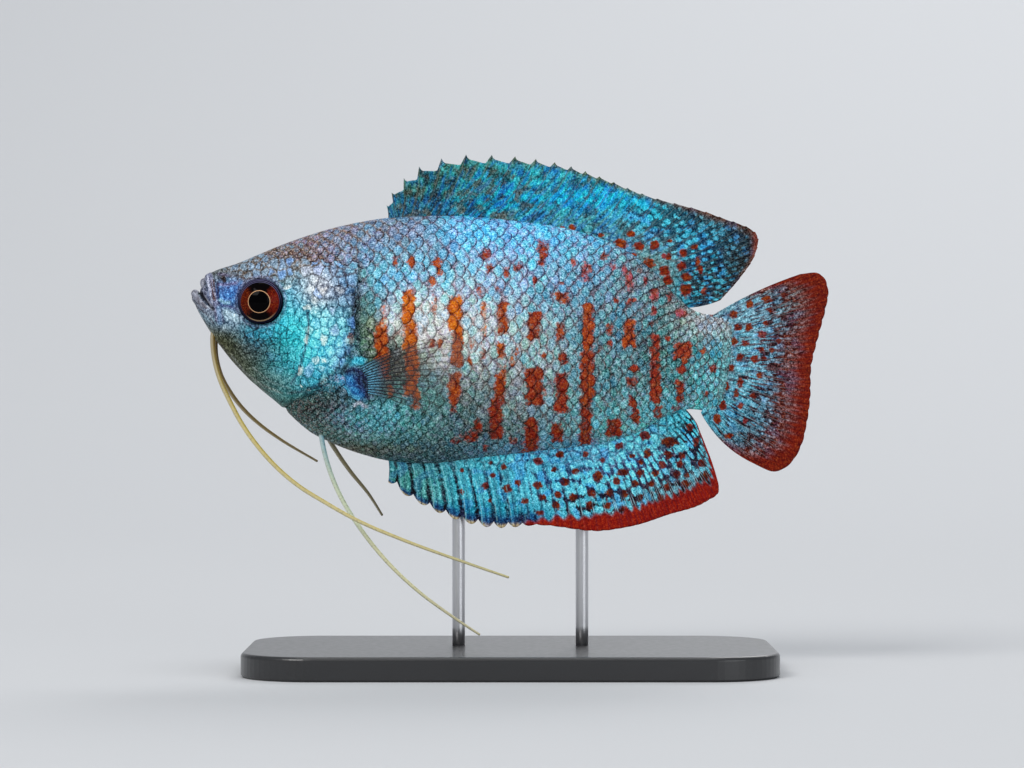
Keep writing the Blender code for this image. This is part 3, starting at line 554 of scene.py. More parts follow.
# Unit normal of the plain trunk, from the cross product of its two tangents.
def trunkNormal(station, angle):
    along = trunk(station + 0.05, angle) - trunk(station - 0.05, angle)
    around = trunk(station, angle + 0.02) - trunk(station, angle - 0.02)
    normal = np.cross(along, around)
    return -normal / np.maximum(np.linalg.norm(normal, axis=-1, keepdims=True), 1e-9)


# Point of the skin: trunk point moved along its normal by the relief and an offset.
def skinPoint(station, angle, offset=0.0):
    base = trunk(station, angle)
    return base + trunkNormal(station, angle) * (relief(base) + offset)[..., None]


# Markings

# Zone tones are partly the fish's own colours and partly painted light: lighter over the back, darker
# towards the belly.
zones = {  # right, down, reach right, reach down, scale centre, edges between scales
    "snout": (208, 278, 14, 14, (112, 122, 132), (60, 68, 60)),
    "forehead": (255, 262, 26, 12, (118, 142, 160), (100, 82, 62)),
    "overEye": (280, 262, 18, 14, (126, 148, 172), (108, 84, 62)),
    "napeFront": (325, 240, 34, 18, (118, 148, 178), (120, 86, 56)),
    "nape": (372, 232, 26, 16, (118, 148, 176), (118, 84, 60)),
    "lore": (227, 294, 10, 8, (58, 150, 230), (26, 62, 140)),
    "underEye": (230, 317, 12, 8, (182, 218, 240), (60, 90, 122)),
    "cheekLow": (270, 342, 20, 10, (2, 98, 132), (0, 22, 36)),
    "cheekDusk": (262, 352, 14, 9, (62, 66, 62), (20, 30, 34)),
    "cheek": (292, 345, 16, 30, (36, 255, 255), (0, 240, 255)),
    "cheekFront": (268, 330, 16, 7, (42, 182, 212), (0, 62, 90)),
    "behindEye": (298, 300, 10, 14, (108, 176, 206), (28, 86, 124)),
    "coverTop": (318, 291, 11, 9, (234, 236, 242), (130, 132, 148)),
    "coverShoulder": (342, 292, 14, 17, (104, 138, 178), (30, 56, 92)),
    "coverMiddle": (328, 326, 14, 15, (146, 238, 250), (60, 152, 180)),
    "coverLow": (322, 356, 18, 14, (130, 252, 255), (78, 214, 252)),
    "coverFoot": (312, 376, 22, 9, (0, 168, 196), (0, 84, 112)),
    "shoulderBand": (364, 325, 7.5, 36, (104, 130, 94), (40, 52, 24)),
    "chin": (222, 345, 16, 14, (92, 92, 52), (54, 56, 18)),
    "gular": (250, 372, 22, 14, (98, 106, 80), (52, 60, 32)),
    "throat": (300, 404, 28, 10, (80, 80, 58), (34, 36, 24)),
    "breast": (335, 404, 20, 10, (38, 72, 76), (16, 32, 32)),
    "breastBlue": (350, 414, 16, 10, (94, 162, 182), (44, 64, 72)),
    "finBase": (354, 380, 8, 10, (34, 90, 140), (0, 14, 44)),
    "breastRear": (398, 418, 34, 18, (98, 184, 182), (58, 120, 118)),
    "bellyFront": (350, 434, 34, 9, (100, 142, 136), (72, 100, 88)),
    "bellyEdge": (352, 449, 42, 4, (122, 116, 92), (72, 66, 48)),
    "bellyMiddle": (430, 448, 44, 9, (70, 108, 114), (36, 54, 56)),
    "lowMiddle": (470, 425, 46, 20, (92, 130, 130), (56, 66, 60)),
    "backFront": (412, 236, 26, 16, (114, 146, 172), (122, 98, 100)),
    "backBlue": (478, 231, 34, 12, (84, 208, 254), (104, 118, 176)),
    "backBright": (535, 236, 36, 13, (86, 212, 255), (108, 120, 176)),
    "backRear": (600, 250, 26, 16, (94, 184, 208), (112, 94, 120)),
    "backEnd": (650, 276, 20, 16, (120, 158, 162), (84, 80, 84)),
    "shoulder": (378, 272, 22, 18, (100, 198, 226), (90, 82, 102)),
    "upper": (425, 276, 30, 18, (104, 214, 244), (104, 92, 118)),
    "upperMiddle": (482, 282, 32, 18, (132, 218, 244), (138, 122, 148)),
    "upperRear": (545, 284, 34, 20, (110, 194, 230), (114, 94, 130)),
    "upperEnd": (612, 304, 28, 22, (90, 160, 176), (98, 80, 92)),
    "pale": (430, 314, 24, 20, (230, 242, 228), (188, 158, 152)),
    "paleRear": (474, 322, 24, 26, (204, 244, 236), (182, 160, 160)),
    "middle": (522, 350, 28, 40, (168, 222, 220), (166, 138, 138)),
    "middleRear": (575, 365, 30, 44, (104, 176, 184), (100, 82, 84)),
    "rear": (625, 368, 30, 46, (90, 148, 154), (80, 62, 64)),
    "rearEnd": (675, 345, 20, 30, (42, 124, 118), (50, 54, 44)),
    "stalk": (700, 322, 16, 12, (184, 192, 192), (136, 108, 108)),
    "stalkLow": (706, 362, 20, 24, (94, 208, 216), (100, 98, 102)),
    "lowRear": (640, 420, 40, 16, (106, 224, 228), (98, 108, 106)),
    "underRim": (259, 322, 8, 5, (92, 140, 150), (40, 70, 80)),
    "cheekFoot": (280, 381, 15, 7, (112, 128, 118), (58, 80, 76)),
    "cheekBend": (282, 362, 11, 8, (34, 118, 136), (0, 56, 78)),
    "breastBright": (372, 420, 18, 8, (92, 204, 222), (66, 128, 138)),
    "underFin": (391, 362, 15, 12, (104, 112, 96), (52, 34, 18)),
    "coverCorner": (340, 360, 7, 8, (160, 224, 244), (96, 126, 164)),
    "lowPale": (502, 388, 26, 16, (128, 146, 142), (92, 88, 82)),
    "lowBlue": (560, 449, 60, 7, (102, 182, 210), (88, 90, 98)),
}
# Red bars: right, top, bottom, half width, how orange, strength. Spots: right, down, half sizes, how
# orange. Below 0 the red turns pink instead.
bars = [
    (382, 305, 332, 4.0, 0.40, 0.45), (381, 326, 362, 6.4, 0.30, 1.00),
    (384, 354, 380, 6.0, 0.20, 0.95), (408, 289, 324, 6.2, 0.90, 1.00),
    (410, 322, 352, 7.4, 0.70, 1.00), (411, 350, 396, 7.0, 0.45, 1.00),
    (415, 390, 410, 5.4, 0.50, 0.90), (434, 294, 316, 3.2, 0.60, 0.50),
    (455, 295, 332, 7.4, 0.95, 1.00), (457, 330, 368, 5.8, 0.35, 1.00),
    (454, 372, 396, 6.0, 0.30, 0.95), (453, 394, 416, 3.8, 0.10, 0.70),
    (483, 300, 346, 3.4, 0.80, 0.50), (502, 302, 336, 5.6, 0.20, 0.95),
    (501, 342, 360, 4.6, 0.40, 0.85), (503, 364, 378, 4.0, 0.30, 0.80),
    (500, 374, 404, 6.0, 0.20, 0.95), (496, 398, 440, 6.4, 0.00, 1.00),
    (534, 311, 341, 6.6, 0.10, 1.00), (534, 367, 406, 10.0, 0.05, 1.00),
    (531, 418, 452, 7.0, 0.00, 1.00), (532, 450, 458, 4.0, 0.00, 0.80),
    (560, 322, 343, 4.6, 0.10, 0.80), (561, 372, 413, 6.8, 0.00, 1.00),
    (557, 422, 443, 6.0, 0.00, 1.00), (588, 303, 350, 6.2, 0.15, 1.00),
    (587, 350, 404, 7.2, 0.10, 1.00), (585, 400, 446, 6.4, 0.05, 1.00),
    (629, 319, 348, 5.8, 0.20, 0.95), (631, 377, 388, 5.4, 0.00, 0.90),
    (632, 394, 410, 4.2, 0.00, 0.90), (635, 408, 424, 4.6, 0.00, 0.90),
    (655, 334, 362, 5.0, 0.00, 0.95), (655, 362, 404, 5.6, 0.00, 1.00),
    (658, 405, 420, 4.8, 0.00, 0.80), (680, 380, 404, 4.6, 0.00, 0.85),
    (676, 405, 424, 4.6, -0.30, 0.70), (614, 418, 437, 7.5, 0.00, 1.00),
    (562, 291, 305, 7.5, 0.20, 0.95), (563, 352, 366, 5.6, 0.00, 0.95),
    (683, 341, 360, 9.0, 0.05, 1.00),
]
spots = [
    (586, 271, 6.5, 10, -0.3), (543, 247, 8, 8, 0.0), (542, 258, 5.5, 9, 0.0), (518, 267, 6.5, 6, 0.0),
    (436, 262, 5, 7, 0.2), (438, 270, 4.5, 6.5, 0.2), (432, 281, 3.5, 6, 0.4),
    (412, 262, 4.5, 6.5, 0.15), (395, 262, 4, 6.5, 0.2), (486, 255, 6.5, 7, 0.0),
    (490, 268, 5.5, 4.5, 0.0), (506, 272, 4, 6, 0.1), (544, 357, 3, 5, 0.2), (483, 354, 3.6, 8, 0.4),
    (480, 290, 4, 7, 0.2), (498, 290, 3.5, 6, 0.1), (535, 280, 4, 5, 0.0), (629, 282, 6, 12, -0.5),
    (625, 270, 3.6, 6, -0.4), (630, 301, 6, 4, 0.0), (609, 329, 4.5, 6, 0.0), (609, 344, 4, 3.5, 0.0),
    (654, 295, 5, 8, -0.3), (654, 310, 4, 5, -0.2), (645, 281, 3, 5, -0.2), (683, 369, 6.5, 5.5, 0.0),
    (684, 362, 3, 4, 0.0), (634, 368, 6, 4, 0.0), (470, 436, 9.5, 7, 0.0), (477, 426, 5.5, 9, 0.0),
    (456, 441, 6, 3.6, 0.0), (513, 440, 5, 5, 0.1), (350, 336, 3.5, 3.5, 0.0), (681, 314, 8, 4.5, -0.6),
    (714, 315, 6, 2.5, -0.5), (562, 283, 5, 3, 0.1), (516, 352, 3.5, 5, 0.6), (512, 362, 3, 6, 0.6),
    (440, 344, 3.0, 6, 0.3), (432, 343, 3.0, 6, 0.0), (651, 324, 3.5, 4, 0.2), (668, 339, 3.0, 3, 0.0),
    (713, 369, 4, 7, 0.0), (703, 350, 3, 4, 0.1), (390, 390, 3.4, 8, 0.4), (612, 268, 4, 4, -0.4),
    (604, 256, 5, 4.5, -0.2), (639, 270, 2.6, 3, 0.3), (669, 296, 4.5, 6, -0.2), (616, 300, 3, 4, 0.1),
    (573, 262, 3, 4, -0.3), (601, 235, 3.4, 2.4, 0.0), (524, 453, 6, 4, 0.0), (644, 434, 5.5, 5, -0.4),
    (485, 449, 3.4, 4.5, 0.0), (706, 395, 3.2, 4.6, 0.0), (471, 345, 3, 6, 0.4),
    (470, 362, 2.6, 5, 0.4), (598, 352, 3, 3, 0.3),
]


# Zones in mm: each one's middle and reaches, and its two tones.
def zoneTable(table):
    rows = np.array([[*fromView(v[0], v[1]), v[2] * viewStep, v[3] * viewStep] for v in table.values()])
    return rows, np.array([[tint(*v[4]), tint(*v[5])] for v in table.values()])


bodyZones = zoneTable(zones)


# Both tones of every point: means of the zones, each weighted by exp(-distance^2 / 2) over its reach.
def zoneTones(x, z, table):
    rows, tones = table
    away = ((x[:, None] - rows[:, 0]) / rows[:, 2]) ** 2 + ((z[:, None] - rows[:, 1]) / rows[:, 3]) ** 2
    weight = (np.exp(-0.5 * np.minimum(away, 60)) + 1e-9) / np.sqrt(rows[:, 2] * rows[:, 3])
    weight /= weight.sum(1, keepdims=True)
    return np.einsum("nz,ztc->tnc", weight, tones)


# How red a place is, and how orange: the strongest bar or spot there, with wavy edges.
def redness(x, z, dots, stripes=(), ragged=0.16, full=0.78):
    wave = 0.5 * np.sin(z * 4.1 + x * 1.3) + 0.45 * np.sin(z * 8.3 - x * 3.9)
    wave += 0.3 * np.sin(x * 9.1 + z * 1.9)
    red, orange = np.zeros_like(x), np.zeros_like(x)
    for right, top, bottom, half, warm, strength in stripes:
        cx, high = fromView(right, top)
        low = fromView(right, bottom)[1]
        off = np.abs(x - cx) / (half * viewStep) + 0.2 * wave
        ends = ease(z, low - 0.25, low + 0.4) * (1 - ease(z, high - 0.4, high + 0.25))
        found = (1 - ease(off, 0.5, 1.4)) * ends * strength
        orange = np.where(found > red, warm, orange)
        red = np.maximum(red, found)
    for right, down, halfX, halfZ, warm in dots:
        cx, cz = fromView(right, down)
        off = np.hypot((x - cx) / (halfX * viewStep), (z - cz) / (halfZ * viewStep)) + ragged * wave
        found = full * (1 - ease(off, 0.45, 1.4))
        orange = np.where(found > red, warm, orange)
        red = np.maximum(red, found)
    return red, orange


# Red layer: red, warmed to orange or turned to pink, and how much of it there is.
def redLayer(red, orange, light=1.0):
    tone = blend(tint(152, 40, 4), tint(222, 118, 0), np.clip(orange, 0, 1))
    tone = blend(tone, tint(190, 98, 126), np.clip(-orange, 0, 1))
    return np.column_stack([tone * light, red])


# Centre and edge colours of scales at points, from the zones and the strokes, and the red layer.
def markings(points, jitter=None):
    x, z = seenPlace(points)
    centre, edge = zoneTones(x, z, bodyZones)
    if jitter is not None:
        centre = centre * jitter
    for share, colour, strength, _ in strokeShares(x, z):
        centre = blend(centre, tint(*colour) * 1.15, share * strength)
        edge = blend(edge, tint(*colour) * 0.8, share * strength)
    return np.clip(centre, 0, 1), np.clip(edge, 0, 1), redLayer(*redness(x, z, spots, bars))


# Skin: angles round the trunk at stations along it, sunk where scales cover it, closed at both ends.
def makeSkin(b=body):
    station = smoothCurve(b["stations"], np.linspace(0, 1, b["stationCount"]))[:, None]
    angle = np.linspace(0, 2 * math.pi, b["around"], endpoint=False)[None, :]
    station, angle = np.broadcast_arrays(station, angle)
    plain = trunk(station, angle)
    slit, _ = lineDistance(plain[..., 0], plain[..., 2], gillSlit)
    nape = ease(plain[..., 2] - napeHeight(plain[..., 0]), -0.1, 1.0) * ease(station, -32.0, -29.0)
    offPad = ease(padReach(plain[..., 0], plain[..., 2]), 0.9, 1.3)
    covered = np.maximum(ease(slit, 0.0, 0.5) * offPad, nape)  # under the coat of scales
    points = skinPoint(station, angle, -b["coatDepth"] * covered)
    flat = np.vstack([points.reshape(-1, 3), points[0].mean(0), points[-1].mean(0)])
    centre, edge, red = markings(flat)
    x, z = flat[:, 0], flat[:, 2]
    fromEye = np.hypot(x - b["eye"][0], z - b["eye"][1])
    gape, _ = lineDistance(x, z, mouthLine)
    slit, _ = lineDistance(x, z, gillSlit)
    # painted shade behind the eyeball, in the mouth and in the gill slit, and a ring round the eye
    hollowShade = np.maximum(1 - ease(fromEye, b["eyeOpening"] - 0.15, b["eyeOpening"] + 0.2),
                        0.85 * (1 - ease(np.abs(gape), 0.08, 0.30)))
    hollowShade = np.maximum(hollowShade, bell(slit, 0.3, 0.28) * (1 - ease(z, 49.0, 50.4)) * 0.8)
    rim = bell(fromEye, b["eyeOpening"] + 0.3, 0.24) * 0.75
    ringTone = blend(tint(54, 56, 84), tint(112, 116, 148), ease(z, 45.5, 49))
    centre, edge = blend(centre, ringTone * 1.3, rim), blend(edge, ringTone * 0.8, rim)
    # cells show behind the snout and above the jaw: 1 is small ones, 2 the large ones of the gill cover
    jaw = np.interp(x, [-38, -34, -30, -26, -22], [46.5, 41.5, 37.6, 34.6, 33.0])
    scaled = ease(x, -35.5, -32.0) * ease(z - jaw, -1.0, 1.5)
    scaled = np.maximum(scaled, ease(z, 49.2, 50.2) * ease(x, -37.0, -34.5))
    front, _ = lineDistance(x, z, coverEdge)
    ragged = 0.5 * np.sin(x * 2.3 + z * 1.1) + 0.4 * np.sin(z * 3.1 - x * 1.7)
    onCover = ease(ragged - front, -0.2, 0.3) * ease(x, -27.4, -25.6)
    behindEye = ease(z + ragged, 47.4, 48.2) * ease(x, -31, -29)
    scaled = scaled * (1 + np.maximum(onCover, behindEye)) * (1 - ease(slit, -0.1, 0.2))
    masks = np.stack([hollowShade, scaled], axis=-1)
    tones = {"centreTone": centre, "edgeTone": edge, "redTone": red, "masks": masks}
    bake = np.column_stack([bakeAlong(x), np.append(angle.ravel() / (2 * math.pi), [0.5, 0.5])])
    skin = makePiece("fish_skin", flat, ringFaces(*station.shape), {"OFBake": bake}, tones)
    nodes = ["head", "torso", "tail_stalk", "gill_cover_left", "gill_cover_right"]
    return finishPiece(skin, "skin", skinFinish(), *nodes)


# Skin of the face: small cells with a thin darker net, large ones on the gill cover, all grained, with
# painted glints and painted shade in its hollows.
def skinFinish():
    f = Finish("bareSkin")
    hollowShade, scaled, _ = f.shades(f.colour("masks"))
    large = (scaled - 1).ease(0.35, 0.65)
    scaled = scaled.least(1.0)
    coarse, speck, grain = f.noise(0.55, 2.0), f.noise(0.2, 1.0), f.grain(0.30)
    small, big = f.sideView(0.88, 0.95), f.sideView(1.10, 1.24, 0.35)
    _, smallChance = f.cells(small, 0.8)
    _, bigChance = f.cells(big, 0.75)
    smallBorder, _ = f.cells(small, 0.8, "DISTANCE_TO_EDGE")
    bigBorder, _ = f.cells(big, 0.75, "DISTANCE_TO_EDGE")
    border = smallBorder * (1 - large) + bigBorder * large
    pale, warm, cool = f.shades(f.mix(large, smallChance, bigChance))
    net = (1 - (border + grain * 0.03).ease(0.015, 0.11)) * scaled
    dome = border.ease(0.0, 0.4) * scaled
    fill = 0.40 + 0.5 * dome + grain * 0.2 + (coarse - 0.5) * 0.8 + (pale - 0.5) * 0.6 * scaled
    base = f.mix(fill.ease(0.0, 1.0), f.colour("edgeTone"), f.colour("centreTone"))
    tinted = (fill - 0.1).ease(0.0, 0.9) * scaled
    base = f.mix(warm.ease(0.62, 0.95) * (large * 0.5 + 0.02) * tinted, base, tint(236, 222, 208))
    base = f.mix(cool.ease(0.5, 0.95) * (large * 0.4 + 0.12) * tinted, base, tint(84, 146, 226))
    net = net * coarse.ease(0.30, 0.55, 0.45, 0.9)
    base = f.mix(net, base, f.mix(0.5, f.colour("edgeTone"), tint(14, 28, 42)))
    red, base = f.reddened(base, (coarse - 0.5) * 1.2 + grain * 0.2, fill)
    base = f.grained(base, grain, 0.28)
    # painted glints: pale specks screened over the tone
    paintedGlint = (speck + grain * 0.10).ease(0.58, 0.68) * (1 - red * 0.8)
    base = f.mix(paintedGlint * 0.35, base, f.colour("centreTone"), "SCREEN")
    # painted shade in the hollows behind the eyeball, in the mouth and in the gill slit
    base = f.mix(hollowShade, base, tint(14, 10, 11))
    return f.surface(Base_Color=base, Roughness=0.42 + 0.2 * speck, Metallic=0.06, Coat_Weight=0.06,
                     Coat_Roughness=0.25, Specular_IOR_Level=0.2,
                     Normal=f.bump(dome * 0.5 + grain * 0.5, 0.07, 0.5))


makeSkin()
print("skin made")


# Scales

scales = {
    # at x: mm between neighbours of one row, and mm between every other row
    "along": [(-40.0, 0.8), (-33.0, 0.95), (-27.0, 1.15), (-20.0, 1.45), (-14.0, 1.66), (0.0, 1.60),
              (12.0, 1.36), (20.0, 1.2), (28.0, 1.05)],
    "across": [(-40.0, 0.85), (-33.0, 1.05), (-27.0, 1.3), (-20.0, 1.65), (-14.0, 1.9), (0.0, 1.86),
               (12.0, 1.62), (20.0, 1.36), (28.0, 1.15)],
    "breastAlong": [(-40.0, 0.85), (-24.0, 0.92), (-16.0, 1.0), (-8.0, 1.15), (2.0, 1.35), (28.0, 1.4)],
    "breastAcross": [(-40.0, 0.95), (-24.0, 1.02), (-16.0, 1.12), (-8.0, 1.3), (2.0, 1.55), (28.0, 1.6)],
    "breastTop": [(-40.0, 37.0), (-26.4, 35.7), (-18.2, 33.6), (-13.8, 32.6), (-8.8, 31.6), (-3.8, 30.0),
                  (1.2, 27.8), (3.0, 20.0), (28.0, 20.0)],  # below it the scales are small
    "from": -31.5, "to": 26.8, "lift": 0.022, "crown": 0.027, "bakePatch": 0.003,
    "clearPad": 1.15, "clearSlit": 0.35, "clearEye": 1.2,  # where they stop: shares of the pad, then mm
    # spreads of the random draws: place along and round, size, height, each channel, brightness
    "wander": (0.15, 0.009), "sizes": 0.08, "heights": 0.25, "tones": (0.14, 0.05, 0.04), "lights": 0.08,
    "rim": 14, "rings": (1.0, 0.74, 0.4), "rear": 1.12, "front": 1.5, "width": 1.1,
}


# Unit scale: rim x = cos, y = sin, pointed a little behind and long in front, in rings up to its centre.
def scaleShape(s=scales):
    turn = np.linspace(0, 2 * math.pi, s["rim"], endpoint=False)
    back = np.cos(turn) > 0
    long, wide = np.abs(np.cos(turn)), np.abs(np.sin(turn))
    x = np.where(back, s["rear"] * long ** 1.15, -s["front"] * long ** 0.8)
    y = s["width"] * np.sign(np.sin(turn)) * wide ** np.where(back, 1.08, 0.8)
    rings = np.array([[x * r, y * r, np.full_like(x, 1 - r * r)] for r in s["rings"]]).transpose(0, 2, 1)
    points = np.vstack([rings.reshape(-1, 3), [(0, 0, 1)], [(-0.2, 0, -1.2)]])
    count = s["rim"]
    ring = np.arange(count)
    last = count * (len(s["rings"]) - 1)
    quads = gridQuads(len(s["rings"]), count, wrapped=True)
    caps = np.vstack([fan(len(points) - 2, ring + last), fan(len(points) - 1, ring, True)])
    return points, quads, caps


# Lattice places: every other cell of half steps, spaced along x by the pitch and round the section by arc
# length; each with half its length and half its width.
def latticePlaces(along, across, s=scales):
    fine = np.linspace(-40.0, 28.0, 700)
    steps = np.concatenate([[0], np.cumsum(np.diff(fine) / smoothCurve(along, fine[:-1]))])
    start, end = np.interp([s["from"], s["to"]], fine, steps)
    bow = np.linspace(-math.pi / 2, math.pi / 2, 361)
    found = []
    for column in np.arange(math.ceil(2 * start), math.floor(2 * end)):  # one ring of the body at a time
        station = np.interp(column / 2, steps, fine)
        ring = trunk(np.full_like(bow, station), bow)
        arc = np.concatenate([[0], np.cumsum(np.linalg.norm(np.diff(ring, axis=0), axis=1))])
        arc -= np.interp(0, bow, arc)
        long, wide = float(smoothCurve(along, station)) / 2, float(smoothCurve(across, station)) / 2
        rows = np.arange(math.ceil(arc[0] / wide), math.floor(arc[-1] / wide) + 1)
        rows = rows[(rows + column) % 2 == 0]
        angles = np.interp(rows * wide, arc, bow)
        found.append(np.column_stack([0 * angles + station, angles, 0 * angles + long, 0 * angles + wide]))
    found = np.vstack(found)
    at = trunk(found[:, 0], found[:, 1])
    return found, at[:, 2] < np.interp(at[:, 0], *np.transpose(s["breastTop"]))


# Scales of one side: unit scales laid over the lattice, each off its place, size and height by chance.
def makeScales(side, material, s=scales, b=body):
    draw = np.random.default_rng(5 if side < 0 else 6)
    wide, low = latticePlaces(s["along"], s["across"])
    fine, under = latticePlaces(s["breastAlong"], s["breastAcross"])
    place = np.vstack([wide[~low], fine[under]])
    bake = np.column_stack([bakeAlong(place[:, 0]), place[:, 1] / (2 * math.pi) + 0.5 - 0.25 * side])
    place[:, 0] += draw.normal(0, s["wander"][0], len(place)) * place[:, 2]
    place[:, 1] += draw.normal(0, s["wander"][1], len(place))
    place[:, 2:] *= 1 + draw.normal(0, s["sizes"], (len(place), 2))
    if side < 0:
        place[:, 1] = math.pi - place[:, 1]
    at = trunk(place[:, 0], place[:, 1])
    slit, _ = lineDistance(at[:, 0], at[:, 2], gillSlit)
    fromEye = np.hypot(at[:, 0] - b["eye"][0], at[:, 2] - b["eye"][1])
    over = at[:, 2] - napeHeight(at[:, 0])
    # behind the gill slit and on the nape
    keep = (padReach(at[:, 0], at[:, 2]) >= s["clearPad"]) & ((slit > s["clearSlit"]) | (over > 0))
    keep &= fromEye > b["eyeOpening"] + s["clearEye"]
    bake, over, slit = bake[keep], over[keep], slit[keep]
    station, angle, halfLong, halfWide = place[keep].T
    count = len(station)
    # steps along and round the trunk that lead straight along and straight across, so scales bend with it
    along = (trunk(station + 0.2, angle) - trunk(station - 0.2, angle)) / 0.4
    around = (trunk(station, angle + 0.02) - trunk(station, angle - 0.02)) / 0.04
    length = np.linalg.norm(along, axis=1)
    lean = (around * along).sum(1) / length
    rise = np.linalg.norm(around - along * (lean / length)[:, None], axis=1)
    # scales lie flatter on the head, and sink at the border of the cover and at the tail fin
    small = 0.4 + 0.6 * ease(station, -27.0, -17.5)
    flat = (1 - ease(over, 0.2, 1.6)) * (1 - ease(slit, 0.2, 1.0))
    flat = np.maximum(flat, ease(station, 23.0, 26.5) * 0.8)
    height = small * (1 - 0.7 * flat) * np.minimum(1, halfLong / 0.7)
    lift = s["lift"] * height * (1 + draw.normal(0, s["heights"], count))
    crown = s["crown"] * height * (1 + draw.normal(0, s["heights"], count))
    shape, quads, caps = scaleShape()
    if side > 0:
        quads, caps = quads[:, ::-1], caps[:, ::-1]
    sx, sy, level = shape[:, 0], shape[:, 1], shape[:, 2]
    up = sy * (halfWide / rise)[:, None]
    turned = angle[:, None] + up * side
    moved = station[:, None] + sx * (halfLong / length)[:, None] - up * (side * lean / length)[:, None]
    offset = lift[:, None] * sx - 0.07 * flat[:, None]
    offset += np.where(level > 0, crown[:, None] * level, 0.1 * level)
    points = skinPoint(moved, turned, offset)
    number = np.arange(count)[:, None, None] * len(shape)
    faces = [(quads[None] + number).reshape(-1, 4), (caps[None] + number).reshape(-1, 3)]
    jitter = np.exp(draw.normal(0, 1, (count, 3)) * s["tones"] + draw.normal(0, s["lights"], (count, 1)))
    # a scale takes its colours partly from its centre, and partly from each point's own place
    middle = skinPoint(station, angle)[:, None, :]
    seen = middle + (points - middle) * 0.75
    centre, dark, red = markings(seen.reshape(-1, 3), np.repeat(jitter, len(shape), axis=0))
    cell = np.tile(np.column_stack([sx, sy]), (count, 1))
    patch = shape[None, :, :2] * s["bakePatch"] / (s["front"] + s["rear"])
    bake = (bake[:, None, :] + patch).reshape(-1, 2)
    masks = np.column_stack([np.repeat(draw.random(count), len(shape)), np.repeat(small, len(shape))])
    name = "scales_left" if side < 0 else "scales_right"
    piece = makePiece(name, points.reshape(-1, 3), faces, {"OFBake": bake, "cell": cell},
                      {"centreTone": centre, "edgeTone": dark, "redTone": red, "masks": masks})
    print(name, count, "scales")
    return finishPiece(piece, "skin", material)


# Grained scale: bright middle (partly a painted highlight), duller rim, thin dark edge, a shift of tone by
# its own chance, and painted glints.
def scaleFinish():
    f = Finish("scales")
    chance, size, _ = f.shades(f.colour("masks"))
    along, across = f.uv("cell")
    coarse, speck, broad, grain = f.noise(0.55, 2.0), f.noise(0.2, 1.0), f.noise(2.4, 1.0), f.grain(0.30)
    # distance from the middle of what shows of a scale
    away = abs((along - 0.2) * 1.3) ** 1.8 + abs(across * 0.95) ** 1.8
    # bright core of each scale: partly its own colour, partly a painted highlight
    core = 1 - (away + grain * 0.25 + (coarse - 0.5) * 1.1 + (1 - size) * 0.45).ease(0.10, 1.25)
    net = abs(along * 0.90) ** 1.6 + abs(across * 0.93) ** 1.6 + grain * 0.12 + (coarse - 0.5) * 0.4
    fill = 0.24 + 0.55 * core + (coarse - 0.5) * 0.75 + (chance - 0.5) * 0.3
    base = f.mix(fill.ease(0.0, 1.0), f.colour("edgeTone"), f.colour("centreTone"))
    lilac = broad.ease(0.40, 0.60) * coarse.ease(0.42, 0.62) * 0.35
    base = f.mix(lilac, base, tint(150, 130, 190), "COLOR")
    base = f.mix((1 - broad.ease(0.34, 0.50)) * core * 0.3, base, tint(64, 150, 236), "COLOR")
    brown = (1 - size) * (speck + (coarse - 0.5) * 0.5).ease(0.44, 0.60) * 0.9
    base = f.mix(brown, base, tint(156, 92, 50), "COLOR")
    red, base = f.reddened(base, (coarse - 0.5) * 1.0 + grain * 0.3 + (chance - 0.5) * 0.4, fill)
    net = net.ease(0.84, 1.16) * broad.ease(0.36, 0.64, 0.25, 0.04)
    base = f.mix(net, base, f.mix(0.6, f.colour("edgeTone"), tint(14, 20, 34)))
    base = f.grained(base, grain, 0.30 - 0.13 * red)
    # painted glints: pale specks screened over the tone
    paintedGlint = (speck + grain * 0.10).ease(0.58, 0.68) * (1 - red * 0.75)
    base = f.mix(paintedGlint * 0.4, base, f.colour("centreTone"), "SCREEN")
    return f.surface(Base_Color=base, Roughness=0.40 + 0.22 * speck, Metallic=0.08, Coat_Weight=0.06,
                     Coat_Roughness=0.22, Specular_IOR_Level=0.15, Normal=f.bump(grain, 0.05, 0.5))


scaleMaterial = scaleFinish()
makeScales(-1, scaleMaterial)
makeScales(1, scaleMaterial)


# Tubes

# Rings carried along a path: each ring's side direction is the last one's with the new tangent taken out.
def sweptTube(name, path, radii, sides=16):
    along = np.gradient(path, axis=0)
    along /= np.linalg.norm(along, axis=1, keepdims=True)
    first = np.cross(along[0], (0.0, 0.0, 1.0) if abs(along[0][2]) < 0.9 else (1.0, 0.0, 0.0))
    side = [first / np.linalg.norm(first)]
    for direction in along[1:]:
        turned = side[-1] - direction * (side[-1] @ direction)
        side.append(turned / np.linalg.norm(turned))
    side = np.array(side)
    up = np.cross(along, side)
    turn = np.linspace(0, 2 * math.pi, sides, endpoint=False)
    radii = np.asarray(radii, float)[:, None, None]
    rings = path[:, None] + radii * (np.cos(turn)[None, :, None] * side[:, None]
                                     + np.sin(turn)[None, :, None] * up[:, None])
    count = len(path)
    points = np.vstack([rings.reshape(-1, 3), path[0], path[-1] + along[-1] * radii[-1, 0] * 0.4])
    run = np.linspace(0, 1, count)
    uv = np.column_stack([np.repeat(run, sides), np.tile(turn / (2 * math.pi), count)])
    uv = np.vstack([uv, [(0, 0.5), (1, 0.5)]])
    return makePiece(name, points, ringFaces(count, sides), {"strip": uv})


# Lips

lips = {
    "upper": [(-38.3, 0.0, 48.5), (-38.1, 0.9, 47.9), (-37.7, 1.7, 46.8), (-37.0, 2.2, 45.4)],
    "lower": [(-39.45, 0.0, 47.1), (-39.15, 0.9, 46.7), (-38.35, 1.6, 45.8), (-37.1, 2.1, 44.9)],
    "upperRadius": (0.56, 0.26), "lowerRadius": (0.53, 0.26), "count": 61,
}


